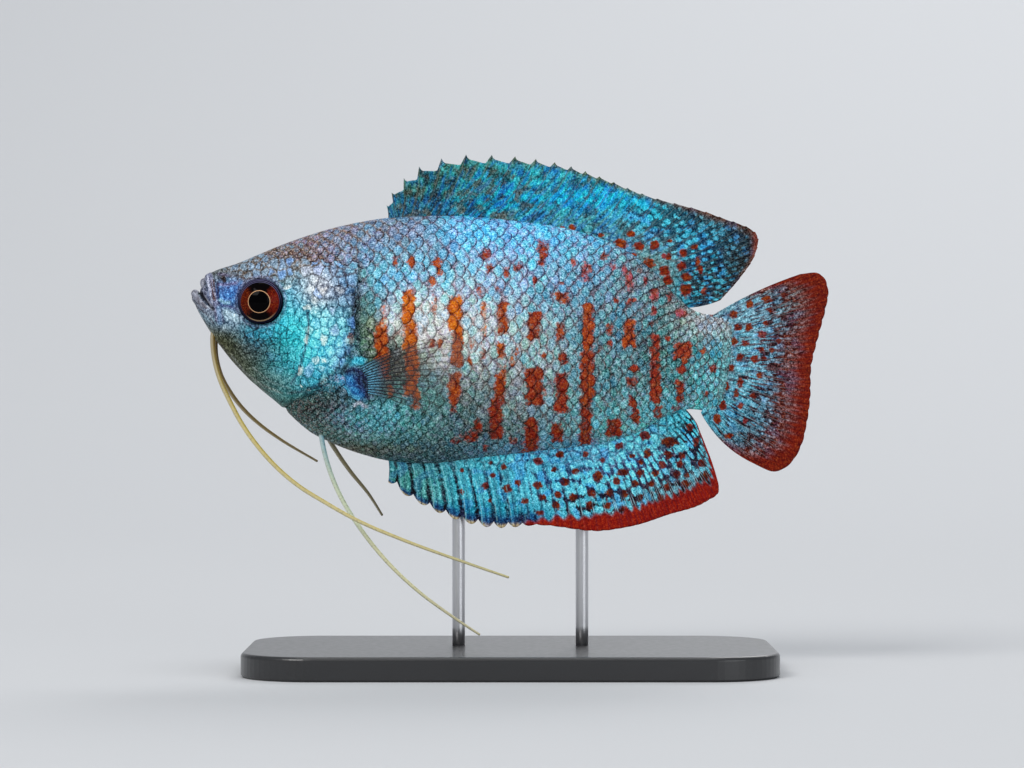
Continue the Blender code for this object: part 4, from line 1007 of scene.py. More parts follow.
# Lips: tubes along half a curve and its mirror image, thinner towards the corners of the mouth.
def makeLips(s=lips):
    f = Finish("lipSkin")
    fine, broad = f.noise(0.14, 3.0), f.noise(0.5, 2.0)
    lines = f.mapNoise("strip", 6.0, 26.0, 2.0)
    tone = f.mix(broad.ease(0.35, 0.65), tint(92, 92, 106), tint(150, 154, 170))
    tone = f.mix(lines.ease(0.56, 0.66) * 0.7, tone, tint(196, 200, 212))
    tone = f.mix(fine.ease(0.50, 0.66) * 0.6, tone, tint(60, 54, 60))
    finish = f.surface(Base_Color=tone, Roughness=0.38 + 0.2 * fine, Coat_Weight=0.15, Coat_Roughness=0.22,
                       Specular_IOR_Level=0.3, Normal=f.bump(fine + lines, 0.05, 0.7))
    for which in ("upper", "lower"):
        half = np.array(s[which])
        path = smoothPath(np.vstack([half[:0:-1] * (1, -1, 1), half]), s["count"])
        corner = np.abs(np.linspace(-1, 1, s["count"]))
        thick, thin = s[which + "Radius"]
        radii = thick + (thin - thick) * corner ** 1.4
        finishPiece(sweptTube("lip_" + which, path, radii, 20), "skin", finish)


makeLips()


# Thread-like fins

feelers = {  # route from the CAD, then tones at the root, a third, two thirds and the tip
    "chin_feeler_left": (
        [(-37.1, -0.5, 42.8), (-37.2, -0.8, 41.6), (-36.9, -1.5, 38.8), (-36.1, -2.4, 36.2),
         (-34.9, -3.2, 33.7), (-33.4, -4.0, 31.0), (-30.9, -4.8, 27.6), (-28.4, -5.3, 25.0),
         (-25.9, -5.6, 23.0), (-23.3, -5.8, 21.4), (-18.8, -6.0, 18.9), (-13.4, -6.1, 16.6),
         (-6.0, -6.0, 13.9), (-0.2, -5.8, 11.9)],
        [(126, 104, 48), (192, 172, 84), (206, 190, 120), (196, 186, 128)],
    ),
    # The right threads, on the far side, take darker tones than the left: painted shade.
    "chin_feeler_right": (
        [(-36.8, 0.5, 42.4), (-37.0, 0.8, 40.9), (-36.5, 2.0, 37.2), (-35.3, 3.6, 34.7),
         (-33.8, 5.2, 32.6), (-31.9, 6.8, 30.7), (-29.4, 8.2, 28.8), (-24.7, 10.0, 25.9)],
        [(96, 72, 30), (138, 112, 56), (150, 126, 70), (140, 120, 78)],
    ),
    "belly_feeler_left": (
        [(-23.9, -0.7, 31.2), (-23.7, -0.9, 29.8), (-23.4, -1.2, 28.1), (-22.5, -1.8, 24.9),
         (-21.2, -2.4, 21.9), (-18.7, -3.2, 17.9), (-15.0, -3.8, 13.4), (-11.2, -4.1, 9.9),
         (-7.4, -4.2, 7.1), (-3.8, -4.2, 4.7)],
        [(120, 168, 184), (196, 208, 176), (216, 212, 164), (200, 192, 150)],
    ),
    # darker tones than the left belly thread: painted shade
    "belly_feeler_right": (
        [(-23.2, 0.7, 31.0), (-22.9, 0.9, 29.3), (-21.8, 2.1, 27.2), (-20.3, 3.7, 24.9),
         (-17.8, 5.9, 21.6), (-16.3, 7.2, 19.1)],
        [(112, 118, 96), (132, 120, 84), (136, 122, 84), (124, 112, 80)],
    ),
}
threadRadius = [(0.0, 0.32), (0.5, 0.26), (1.0, 0.15)]  # mm, from root to tip


# Threads: tubes along the smooth curves of the routes, tapered from root to tip.
def makeFeelers(s=feelers):
    for name, (route, tones) in s.items():
        path = smoothPath(route, 150)
        radii = smoothCurve(threadRadius, np.linspace(0, 1, len(path)))
        f = Finish(name + "Skin")
        run, around = f.uv("strip")
        tone = tint(*tones[0])
        for stop, colour in zip((0.0, 0.3, 0.65), tones[1:]):
            tone = f.mix(run.ease(stop + 0.02, stop + 0.3), tone, tint(*colour))
        fine = f.mapNoise("strip", 160.0, 3.0, 2.0)
        # painted highlight: a pale streak along one side of the thread
        side = (around * 2 * math.pi + 0.6).wave()
        tone = f.mix(fine.ease(0.45, 0.7) * 0.35, tone, tint(90, 70, 40))
        tone = f.mix(side.ease(0.3, 1.0) * 0.25, tone, tint(240, 236, 214))
        finish = f.surface(Base_Color=tone, Roughness=0.35 + 0.2 * fine, Coat_Weight=0.3,
                           Coat_Roughness=0.2, Normal=f.bump(fine, 0.03, 0.5))
        finishPiece(sweptTube(name.replace("feeler", "thread"), path, radii, 14), "feeler", finish, name)


makeFeelers()
print("lips and threads made")


# Eyes

eyes = {
    "radius": 2.95, "halfDepth": 1.75, "cornea": 0.16, "corneaRadius": 1.5, "sunk": 0.85, "turn": 0.09,
    "pupil": 1.34, "goldRing": 0.03, "iris": 2.42, "rings": 40, "around": 72,
}


# Half width of the body at a place of its side view: w (1 - level^2)^(keel / 2).
def halfWidthAt(x, z, b=body):
    top, bottom = smoothCurve(b["back"], x), smoothCurve(b["belly"], x)
    level = np.clip((z - (top + bottom) / 2) / ((top - bottom) / 2), -1, 1)
    keel = np.where(level > 0, smoothCurve(b["keelAbove"], x), smoothCurve(b["keelBelow"], x))
    return smoothCurve(b["halfWidth"], x) * (1 - level ** 2) ** (keel / 2)


# Ellipsoid as rings about its own outward axis, with a slight cornea bulge over the pupil.
def makeEye(side, material, s=eyes):
    tilt = np.linspace(0, math.pi, s["rings"])[1:-1, None]
    turn = np.linspace(0, 2 * math.pi, s["around"], endpoint=False)[None, :]
    across, out = np.sin(tilt) + 0 * turn, np.cos(tilt) + 0 * turn
    bulge = s["cornea"] * np.exp(-(across * s["radius"] / s["corneaRadius"]) ** 4) * (out > 0)
    x, z = s["radius"] * across * np.cos(turn), s["radius"] * across * np.sin(turn)
    y = s["halfDepth"] * out + bulge
    points = np.stack([x, y, z], axis=-1).reshape(-1, 3)
    points = np.vstack([points, (0, s["halfDepth"] + s["cornea"], 0), (0, -s["halfDepth"], 0)])
    uv = points[:, [0, 2]]
    faces = ringFaces(s["rings"] - 2, s["around"])
    cx, cz = body["eye"]
    depth = float(halfWidthAt(cx, cz)) - s["sunk"]
    place = Matrix.Translation((cx, side * depth, cz)) @ Matrix.Rotation(side * s["turn"], 4, "Z")
    if side < 0:
        points = points * (1, -1, 1)
        faces = [f[:, ::-1] for f in faces]
    moved = points @ np.array(place.to_3x3()).T + np.array(place.translation)
    which = "left" if side < 0 else "right"
    piece = makePiece("eyeball_" + which, moved, faces, {"face": uv})
    return finishPiece(piece, "eye", material, "eye_" + which)


# Black pupil, gold ring, iris red at the sides and black above and below, dark ringed rim, gold low edge.
def eyeFinish(s=eyes):
    f = Finish("eyeball")
    x, z = f.uv("face")
    away = (x * x + z * z).root()
    fine, threads = f.mapNoise("face", 3.0, 3.0, 3.0), f.mapNoise("face", 7.0, 7.0, 2.0, 4.0)
    sideways = (abs(x) / (away + 0.01) + (fine - 0.5) * 0.5).ease(0.50, 0.95)
    iris = f.mix(sideways, tint(6, 4, 5), tint(82, 20, 10))
    iris = f.mix((x / (away + 0.01)).ease(0.5, 1.0) * 0.75, iris, tint(118, 20, 14))
    iris = f.mix(threads.ease(0.50, 0.66) * sideways * 0.7, iris, tint(150, 70, 26))
    iris = f.mix(fine.ease(0.36, 0.48, 0.5, 0.0), iris, tint(10, 5, 6))
    low = (0 - z + x * 0.1).ease(1.3, 2.2) * away.ease(2.26, 2.34)
    iris = f.mix(low * 0.6, iris, tint(206, 170, 130))
    rings = ((away - 2.4) * 34.0).wave().ease(-0.4, 1.0)
    rim = f.mix((z + 0.6).ease(-1.0, 2.6), tint(34, 36, 60), tint(92, 90, 124))
    rim = f.mix(rings, tint(14, 13, 24), rim)
    tone = f.mix(away.ease(s["iris"] - 0.06, s["iris"] + 0.06), iris, rim)
    gold = s["pupil"] + s["goldRing"]
    tone = f.mix(away.ease(gold, gold + 0.06), tint(222, 172, 128), tone)
    tone = f.mix(away.ease(s["pupil"] - 0.04, s["pupil"] + 0.02), tint(2, 2, 3), tone)
    return f.surface(Base_Color=tone, Roughness=0.3 + 0.2 * fine, Coat_Weight=0.07, Coat_Roughness=0.03,
                     Specular_IOR_Level=0.0)


eyeMaterial = eyeFinish()
makeEye(-1, eyeMaterial)
makeEye(1, eyeMaterial)
print("eyes made")


# Fins

dorsal = {
    "name": "dorsal_membrane", "node": "dorsal_fin", "sign": 1, "spines": 17, "rays": 33,
    "loose": 0.7, "streaks": 2.1, "vague": 0.3, "azure": 0.45, "shadow": 0.2, "grained": 0.21,
    "stained": (7.0, 14.0), "hued": True,
    "spacing": [(0, 0.0), (16, 0.655), (32, 1.0)], "columns": [(0, 0.0), (16, 31.0), (32, 50.0)],
    "rootX": [(0.0, -15.3), (0.12, -12.8), (0.66, 12.5), (1.0, 21.9)],
    "tips": [(0.0, -15.5, 58.2), (0.04, -14.9, 59.7), (0.08, -13.5, 61.4), (0.12, -11.8, 62.8),
             (0.2, -6.6, 64.4), (0.28, -0.9, 64.4), (0.4, 6.1, 63.5), (0.52, 11.5, 61.7),
             (0.64, 17.5, 59.3), (0.76, 26.0, 56.8), (0.84, 31.0, 54.3), (0.88, 30.7, 52.1),
             (0.94, 28.7, 49.0), (1.0, 26.3, 46.3)],
    "notch": [(0.0, 0.45), (0.05, 0.32), (0.12, 0.25), (0.2, 0.17), (0.28, 0.12), (0.4, 0.08),
              (0.52, 0.045), (0.66, 0.02), (1.0, 0.012)], "saw": True,
    "bow": [(0.0, -0.05), (1.0, -0.05)], "sway": 0.5, "swayLength": 5.5,
    "thick": (0.36, 0.09), "ridge": (0.13, 0.05), "split": 0.22, "splitAt": (0.35, 0.95),
    "pitch": 0.95, "redLight": 0.90,
    "rayTone": (118, 132, 124), "rayShare": (0.3, 0.6), "rayWidth": (0.036, 0.022),
    "zones": {  # right, down, reach right, reach down, marks, ground
        "frontFoot": (415, 208, 26, 10, (36, 118, 142), (30, 48, 62)),
        "frontTop": (425, 182, 26, 14, (56, 146, 130), (40, 76, 58)),
        "lowMiddle": (490, 206, 34, 10, (2, 172, 192), (0, 66, 88)),
        "middle": (490, 180, 36, 15, (20, 182, 196), (20, 80, 90)),
        "topMiddle": (500, 163, 60, 6, (58, 166, 162), (50, 96, 76)),
        "rearMiddle": (575, 192, 34, 16, (0, 216, 236), (0, 116, 158)),
        "rearTop": (600, 180, 50, 6, (58, 176, 178), (40, 88, 72)),
        "footRear": (575, 222, 40, 8, (80, 188, 192), (42, 84, 90)),
        "foot": (625, 232, 20, 10, (96, 168, 186), (56, 80, 88)),
        "footEnd": (655, 262, 16, 14, (124, 178, 180), (84, 98, 94)),
        "lobeBase": (645, 215, 25, 12, (40, 204, 232), (18, 92, 112)),
        "lobe": (690, 240, 25, 16, (62, 190, 222), (12, 78, 104)),
        "lobeTop": (715, 220, 25, 8, (84, 148, 166), (34, 62, 70)),
        "rearEdge": (742, 264, 8, 12, (34, 56, 64), (14, 12, 12)),
        "tip": (738, 242, 14, 14, (78, 146, 178), (24, 48, 58)),
        "lobeLow": (708, 280, 16, 16, (60, 168, 192), (28, 50, 60)),
    },
    "spots": [
        (621, 244, 6.5, 5.5, 0.2), (631, 234, 4, 3.5, 0.2), (639, 246, 5.6, 5, 0.0),
        (655, 246, 5.4, 5, 0.0), (634, 255, 3, 2.4, 0.1), (649, 263, 6.4, 6.4, 0.1),
        (669, 257, 2.8, 4, 0.0), (683, 253, 4, 5, 0.0), (681, 266, 5.4, 5, 0.0),
        (686, 277, 5.4, 5, 0.0), (665, 271, 5.8, 6.5, 0.0), (668, 280, 6, 5.5, 0.0),
        (686, 290, 6.6, 7.4, 0.0), (700, 270, 3.5, 4.5, 0.0), (698, 262, 3, 5, 0.2),
        (695, 247, 4, 3, 0.1), (601, 235, 3.5, 2.5, 0.1), (573, 227, 4, 3, 0.2), (670, 241, 3, 2, 0.0),
        (664, 256, 3, 3, -0.5), (562, 228, 3, 2, 0.1), (704, 291, 3, 4, -0.2),
    ],
}
anal = {
    "name": "anal_membrane", "node": "anal_fin", "sign": -1, "spines": 17, "rays": 36,
    "loose": 0.62, "streaks": 3.2, "vague": 0.18, "azure": 0.4, "shadow": 0.3, "grained": 0.25,
    "spacing": [(0, 0.0), (12, 0.414), (35, 1.0)], "columns": [(0, 0.0), (12, 14.0), (35, 39.0)],
    "rootX": [(0.0, -15.3), (0.56, 10.6), (1.0, 21.5)],
    "tips": [(0.0, -15.3, 23.5), (0.035, -13.2, 21.9), (0.07, -11.1, 20.7), (0.14, -7.1, 18.9),
             (0.21, -3.1, 17.9), (0.35, 4.2, 18.1), (0.48, 11.2, 17.4), (0.55, 14.7, 17.9),
             (0.69, 19.7, 19.4), (0.83, 24.6, 21.1), (0.88, 26.1, 22.3), (0.93, 25.6, 25.0),
             (1.0, 23.4, 30.8)],
    "notch": [(0.0, 0.30), (0.035, 0.17), (0.1, 0.12), (0.2, 0.09), (0.27, 0.07), (0.33, 0.02),
              (0.45, 0.008), (1.0, 0.008)], "saw": False,
    "bow": [(0.0, 0.04), (1.0, 0.04)], "sway": -0.4, "swayLength": 5.5,
    "thick": (0.36, 0.09), "ridge": (0.14, 0.05), "split": 0.22, "splitAt": (0.35, 0.95),
    "pitch": 1.2, "redLight": 0.50, "petals": (5.0, 11.0),
    "rayTone": (18, 30, 72), "rayShare": (0.5, 0.8), "rayWidth": (0.08, 0.05),
    "zones": {
        "frontFoot": (420, 462, 30, 5, (84, 168, 184), (24, 46, 56)),
        "front": (415, 484, 22, 14, (78, 164, 158), (4, 26, 36)),
        "foot": (480, 459, 40, 6, (96, 234, 255), (54, 98, 120)),
        "middle": (485, 482, 30, 14, (80, 204, 230), (12, 14, 44)),
        "lowMiddle": (495, 512, 34, 6, (26, 158, 190), (2, 2, 32)),
        "middleRear": (550, 475, 34, 18, (98, 222, 252), (40, 74, 118)),
        "footRear": (590, 455, 40, 8, (94, 180, 226), (54, 66, 108)),
        "rearFoot": (630, 450, 24, 10, (114, 244, 255), (62, 94, 128)),
        "footBright": (628, 461, 22, 9, (120, 240, 255), (84, 112, 160)),
        "rear": (635, 476, 26, 14, (106, 226, 250), (60, 54, 74)),
        "rearLow": (590, 502, 40, 9, (90, 196, 216), (38, 8, 16)),
        "lobe": (680, 462, 20, 22, (98, 190, 212), (46, 26, 34)),
        "lobeLow": (680, 490, 22, 8, (100, 132, 146), (44, 8, 8)),
        "lobeFoot": (688, 430, 12, 14, (78, 212, 236), (22, 32, 42)),
    },
    "spots": [
        (503, 467, 3.6, 3.6, 0.0), (493, 476, 3, 3, 0.0), (485, 486, 4.6, 3.8, -0.2),
        (462, 492, 3, 3, 0.0), (507, 489, 5.2, 5, 0.0), (518, 483, 3.4, 3.4, 0.0),
        (538, 485, 5.2, 5, 0.1), (525, 501, 4.4, 3.6, 0.1), (538, 461, 4.8, 4.4, -0.3),
        (543, 497, 3.6, 3.6, 0.1), (554, 470, 3, 3, 0.0), (491, 463, 3, 2.4, -0.2),
        (556, 506, 4.4, 4.4, 0.1), (490, 501, 2.4, 2.4, 0.1), (462, 470, 2.6, 2.4, 0.0),
        (560, 454, 4.4, 4.4, 0.0), (585, 455, 4.4, 3.4, -0.2), (565, 482, 4.8, 4.4, 0.0),
        (576, 471, 4.4, 4.2, 0.0), (598, 476, 5.6, 5.6, 0.1), (573, 497, 4.4, 4.4, 0.0),
        (592, 494, 5.4, 4.4, 0.0), (590, 506, 4.4, 4.4, 0.0), (623, 472, 6.4, 4, 0.1),
        (617, 481, 4.2, 4.2, 0.1), (640, 473, 4.4, 4.4, 0.0), (647, 454, 4.4, 5.4, 0.1),
        (668, 455, 4.4, 4.4, 0.0), (682, 455, 4.4, 4.4, 0.0), (669, 442, 8.5, 5.6, 0.1),
        (645, 436, 5.5, 5.5, -0.3), (690, 428, 4.2, 4.2, -0.1), (696, 442, 3.4, 5.4, -0.1),
        (662, 465, 4.4, 4.4, -0.2), (656, 473, 4, 4, 0.1), (677, 474, 4.4, 4.4, 0.0),
        (680, 464, 3.4, 4.4, 0.0), (687, 476, 3, 3, 0.0), (652, 484, 4.4, 3.8, 0.1),
        (635, 484, 4.4, 4.2, 0.0), (641, 462, 4, 3, 0.0), (632, 456, 3.4, 2.4, 0.1),
        (686, 484, 5, 4.4, 0.0), (701, 463, 4, 4.6, 0.0), (667, 487, 3.4, 4.4, 0.0),
        (610, 492, 4.4, 4.4, 0.1), (625, 494, 4.2, 4.2, 0.0), (608, 505, 4, 5, 0.0),
        (622, 508, 3.6, 4, 0.0), (558, 495, 4.2, 4, 0.0), (603, 461, 3, 3, -0.4),
        (620, 446, 5, 4, -0.5), (540, 513, 4, 3, 0.0), (640, 498, 3, 4, 0.0), (706, 476, 4, 6, 0.0),
        (661, 497, 4, 4, -0.1),
    ],
}
caudal = {
    "name": "caudal_membrane", "node": "caudal_fin", "rays": 21,
    "loose": 1.0, "streaks": 3.2, "vague": 0.18, "azure": 0.25, "shadow": 0.1, "grained": 0.26,
    "spacing": [(0, 0.0), (20, 1.0)], "columns": [(0, 0.0), (20, 44.0)],
    "rootZ": (44.4, 32.2), "rootX": 24.6, "rootRound": 1.2, "saw": False,
    "bow": [(0.0, 0.03), (0.7, -0.02), (1.0, -0.09)], "sway": 0.9, "swayLength": 5.0,
    "tips": [(0.0, 36.4, 49.6), (0.05, 38.4, 49.75), (0.10, 39.5, 48.9), (0.15, 39.9, 47.4),
             (0.22, 39.6, 45.4), (0.34, 38.7, 42.0), (0.48, 37.7, 38.0), (0.62, 37.5, 34.0),
             (0.74, 37.0, 30.6), (0.82, 36.4, 28.2), (0.88, 35.4, 26.3), (0.93, 34.0, 25.1),
             (0.97, 32.5, 24.9), (1.0, 31.0, 25.6)],
    "notch": [(0.0, 0.0), (0.1, 0.005), (1.0, 0.005)],
    "thick": (0.5, 0.09), "ridge": (0.12, 0.05), "split": 0.22, "splitAt": (0.35, 0.95),
    "pitch": 0.95, "redLight": 0.66,
    "rayTone": (92, 26, 14), "rayShare": (0.5, 0.22), "rayWidth": (0.05, 0.024),
    "zones": {
        "lowInner": (742, 442, 11, 12, (80, 98, 112), (30, 10, 10)),
        "root": (716, 350, 10, 36, (126, 164, 172), (78, 72, 78)),
        "rootHigh": (730, 318, 14, 8, (134, 190, 210), (72, 86, 104)),
        "inner": (745, 350, 13, 40, (118, 200, 220), (60, 30, 42)),
        "rootLow": (722, 412, 14, 16, (84, 188, 214), (24, 10, 26)),
        "upper": (760, 312, 16, 10, (124, 174, 196), (66, 52, 62)),
        "middle": (768, 350, 11, 40, (110, 166, 194), (68, 34, 40)),
        "lower": (750, 420, 14, 18, (88, 152, 178), (38, 22, 36)),
        "outerHigh": (787, 298, 12, 12, (86, 138, 144), (44, 24, 20)),
        "outer": (787, 350, 8, 40, (92, 104, 120), (56, 14, 8)),
        "outerLow": (775, 420, 10, 24, (86, 108, 130), (44, 14, 14)),
        "lowEdge": (745, 446, 14, 8, (74, 132, 156), (32, 16, 18)),
    },
    "spots": [
        (733, 314, 4.8, 4.6, 0.1), (738, 327, 4.4, 4, 0.0), (749, 327, 4, 4, 0.0),
        (723, 331, 4, 3, 0.2), (722, 351, 5.4, 6, 0.0), (734, 342, 4, 5, 0.2), (745, 343, 4.6, 4, -0.2),
        (740, 358, 4, 5, 0.0), (755, 359, 4.2, 4.2, 0.0), (764, 358, 3.4, 3, 0.0),
        (761, 350, 3.4, 3, 0.0), (725, 368, 6.4, 5.6, 0.0), (713, 369, 3.8, 6.4, 0.0),
        (724, 386, 6.2, 5.4, 0.1), (740, 383, 3.8, 5, 0.0), (736, 394, 3.4, 4, 0.0),
        (723, 405, 4.4, 4.8, 0.0), (717, 419, 4, 6, 0.1), (763, 334, 5, 4.4, -0.4),
        (750, 304, 4, 4.4, 0.1), (767, 299, 5, 4, 0.2), (785, 295, 4, 3, 0.0), (731, 368, 4, 4, 0.0),
        (759, 376, 3.4, 3.2, 0.2), (729, 436, 5, 3, 0.1), (766, 323, 3, 3, 0.1), (753, 396, 3, 3, 0.0),
        (770, 310, 4, 3, 0.0), (741, 406, 3.4, 4, -0.2), (772, 350, 3, 3, 0.0), (745, 421, 3, 4, -0.2),
        (779, 341, 3, 3, 0.0),
    ],
}


# Grid over a fin: each point is root + t (tip - root) + 4 bow t (1 - t) across, with t from root to
# margin. Webs end short of the ray tips: along a saw of thin spine tips, or in lobes round the rays.
def finGrid(fin, root, perRay=10, rows=56):
    count = (fin["rays"] - 1) * perRay + 1
    ray = np.linspace(0, fin["rays"] - 1, count)
    share = smoothCurve(fin["spacing"], ray)
    behind = ray - np.floor(ray)
    if fin["saw"]:
        dip = (0.34 * ease(behind, 0.0, 0.16) + 0.66 * behind) * (1 - ease(behind, 0.88, 1.0))
    else:
        dip = (2 * np.abs(ray - np.round(ray))) ** 2
    reach = 1 - smoothCurve(fin["notch"], share) * dip
    t = np.linspace(0, 1, rows)[None, :] * reach[:, None]
    start, tip = root(share), smoothCurve(fin["tips"], share)
    chord = (tip - start)[:, None, :]
    across = np.stack([-chord[..., 1], chord[..., 0]], axis=-1)
    bow = np.interp(share, *np.transpose(fin["bow"]))[:, None]
    plane = start[:, None] + chord * t[..., None] + across * (4 * bow * t * (1 - t))[..., None]
    length = np.linalg.norm(tip - start, axis=1)
    return ray, t, plane, length


# Closed membrane: two sheets at the middle surface +- half the thickness, joined round the rim.
def finMesh(fin, plane, middle, ray, t, branch, length):
    near = np.abs(ray - np.round(ray))[:, None]
    crest = bell(near, branch, 0.09)
    thick, thin = fin["thick"]
    high, low = fin["ridge"]
    half = thin + (thick - thin) * (1 - t) ** 3 + (low + (high - low) * (1 - t)) * crest
    half[:, -1] *= 0.35  # the margin is thinnest
    sheets = [np.stack([plane[..., 0], middle + half * way, plane[..., 1]], axis=-1) for way in (-1, 1)]
    columns, rows = t.shape
    other = columns * rows
    points = np.vstack([sheet.reshape(-1, 3) for sheet in sheets])
    front, back = gridQuads(columns, rows), gridQuads(columns, rows, first=other)[:, ::-1]
    c, r = np.arange(columns), np.arange(rows)
    rim = np.concatenate([c * rows, (columns - 1) * rows + r[1:], c[-2::-1] * rows + rows - 1, r[-2:0:-1]])
    after = np.roll(rim, -1)
    edge = np.stack([rim, after, after + other, rim + other], axis=-1)
    faces = [front, back, edge]
    column = np.repeat(smoothCurve(fin["columns"], ray), rows)
    uv = {"rays": np.column_stack([np.repeat(ray, rows), t.ravel()]),
          "web": np.column_stack([column, (t * length[:, None]).ravel() / fin["pitch"]])}
    uv = {layer: np.tile(values, (2, 1)) for layer, values in uv.items()}
    first = points[front[0]]
    outward = np.cross(first[1] - first[0], first[2] - first[0])[1] < 0
    if not outward:
        faces = [f[:, ::-1] for f in faces]
    return points, faces, uv


# Tones of a fin: its zones, its red spots, then its own margin (share, marks, ground).
def finTones(fin, points, margin):
    x, z = seenPlace(points)
    marks, ground = zoneTones(x, z, zoneTable(fin["zones"]))
    red = redLayer(*redness(x, z, fin["spots"], ragged=0.2, full=1.0), fin["redLight"])
    for part, markTone, groundTone in margin:
        part = np.clip(part, 0, 1)
        marks, ground = blend(marks, tint(*markTone), part), blend(ground, tint(*groundTone), part)
    return marks, ground, red


# Marks in rows between the rays, as long or short cells with ragged edges; thin rays, which split
# towards the margin; fine lines along them; small scales on the sheath at the root; a painted shadow beside
# the rays and painted glints.
def finFinish(fin):
    f = Finish(fin["node"] + "Web")
    ray, t = f.uv("rays")
    size, long, quiet = f.shades(f.colour("plan"))
    sheath, soft, pale = f.shades(f.colour("extra"))
    coarse, speck, grain = f.noise(0.55, 2.0), f.noise(0.2, 1.0), f.grain(0.29)
    streak = f.mapNoise("web", fin["streaks"], 0.45, 2.0)
    shortAway, shortChance = f.cells(f.place("web", 1.0, 1.0), fin["loose"])
    longAway, _ = f.cells(f.place("web", 1.0, 0.5), 0.85)
    chance, own, _ = f.shades(shortChance)
    beside = abs((ray + 0.5).part() - 0.5)
    split = t.ease(*fin["splitAt"]) * soft * fin["split"]
    width = t.ease(0.0, 1.0, *fin["rayWidth"])
    fromRay = abs(beside - split) / width
    away = shortAway + (longAway - shortAway) * long + (streak - 0.5) * (0.65 + 1.7 * long)
    away = away - grain * 0.08 + (coarse - 0.5) * (0.4 - 0.2 * long) + (own - 0.5) * 0.22
    away = away + (1 - fromRay.ease(1.0, 4.0)) * 0.14
    vague = 0.12 + fin["vague"] * long
    dot = (1 - (away - size).ease(0 - vague, vague)) * (0.82 + 0.3 * chance)
    if "petals" in fin:  # bright leaves round the first rays, dark between them
        front = 1 - ray.ease(*fin["petals"])
        leaf = beside + (streak - 0.5) * 0.5 + (coarse - 0.5) * 0.5 + abs(t - 0.45) ** 2 * 0.7
        leaf = (1 - leaf.ease(0.26, 0.54)) * (0.5 + 1.1 * coarse)
        dot = dot + (leaf - dot) * front
    border, _ = f.cells(f.sideView(1.05, 1.15), 0.75, "DISTANCE_TO_EDGE")
    dot = dot + (border.ease(0.0, 0.24) * 0.65 + 0.18 + (coarse - 0.5) * 0.9 - dot) * sheath
    dot = dot * (1 - quiet) + (0.5 + (streak - 0.5) * 1.1 + (coarse - 0.5) * 0.8) * quiet
    tone = f.mix(dot, f.colour("ground"), f.colour("marks"))
    broad = f.noise(1.8, 1.0)
    azure = (1 - broad.ease(0.36, 0.48)) * fin["azure"] * (1 - quiet)
    tone = f.mix(azure, tone, tint(40, 120, 226), "COLOR")
    if "hued" in fin:  # streaks that turn to azure and to olive
        hued = long * (1 - quiet)
        tone = f.mix((1 - streak.ease(0.42, 0.52)) * hued * 0.6, tone, tint(24, 118, 224), "COLOR")
        tone = f.mix(coarse.ease(0.52, 0.62) * (1 - dot) * hued * 0.5, tone, tint(72, 66, 60))
    if "stained" in fin:  # dull olive patches between the first rays
        stain = broad.ease(0.52, 0.60) * (0.7 - 0.7 * t ** 2) * (1 - ray.ease(*fin["stained"]))
        tone = f.mix(stain, tone, tint(84, 84, 72))
    ragged = (coarse - 0.5) * 1.1 + grain * 0.3 + (streak - 0.5) * 0.4
    red, tone = f.reddened(tone, ragged, dot * 0.5 + coarse * 0.6)
    quiet = quiet.most(red)
    streaked = grain + (streak - 0.5) * 1.6 * (1 - sheath)
    tone = f.grained(tone, streaked, fin["grained"] * (1 - 0.5 * quiet))
    line = (1 - fromRay.ease(0.5, 1.0)) * t.ease(0.0, 1.0, *fin["rayShare"])
    line = line * (1 - quiet * 0.75) * (1 - sheath) * coarse.ease(0.30, 0.55, 0.35, 1.0)
    tone = f.mix(line, tone, f.mix(pale, tint(*fin["rayTone"]), tint(170, 216, 230)))
    if "petals" in fin:  # pale line along the front of each leaf
        # painted glint: a pale line along the front of each leaf
        leafGlint = abs((ray + 0.5).part() - 0.24 + (streak - 0.5) * 0.1)
        leafGlint = (1 - leafGlint.ease(0.015, 0.05)) * front * coarse.ease(0.36, 0.56) * 0.55
        tone = f.mix(leafGlint, tone, tint(160, 226, 236))
    shadow = (1 - (fromRay - 1.6).ease(0.3, 1.2)) * fromRay.ease(0.8, 1.2) * (1 - sheath)
    tone = f.mix(shadow * fin["shadow"], tone, f.mix(0.35, f.colour("ground"), tint(8, 12, 22)))
    # painted glints: pale specks screened over the tone
    paintedGlint = (speck + grain * 0.10).ease(0.57, 0.67) * (dot * 0.8 + 0.04)
    paintedGlint = paintedGlint * (1 - quiet) * (0.5 + chance * 0.7)
    tone = f.mix(paintedGlint * 0.6, tone, f.colour("marks"), "SCREEN")
    height = line * 0.6 + streak * 0.6 + grain * 0.3
    return f.surface(Base_Color=tone, Roughness=0.42 + 0.2 * speck, Coat_Weight=0.02, Coat_Roughness=0.22,
                     Specular_IOR_Level=0.10, Normal=f.bump(height, 0.05, 0.6))


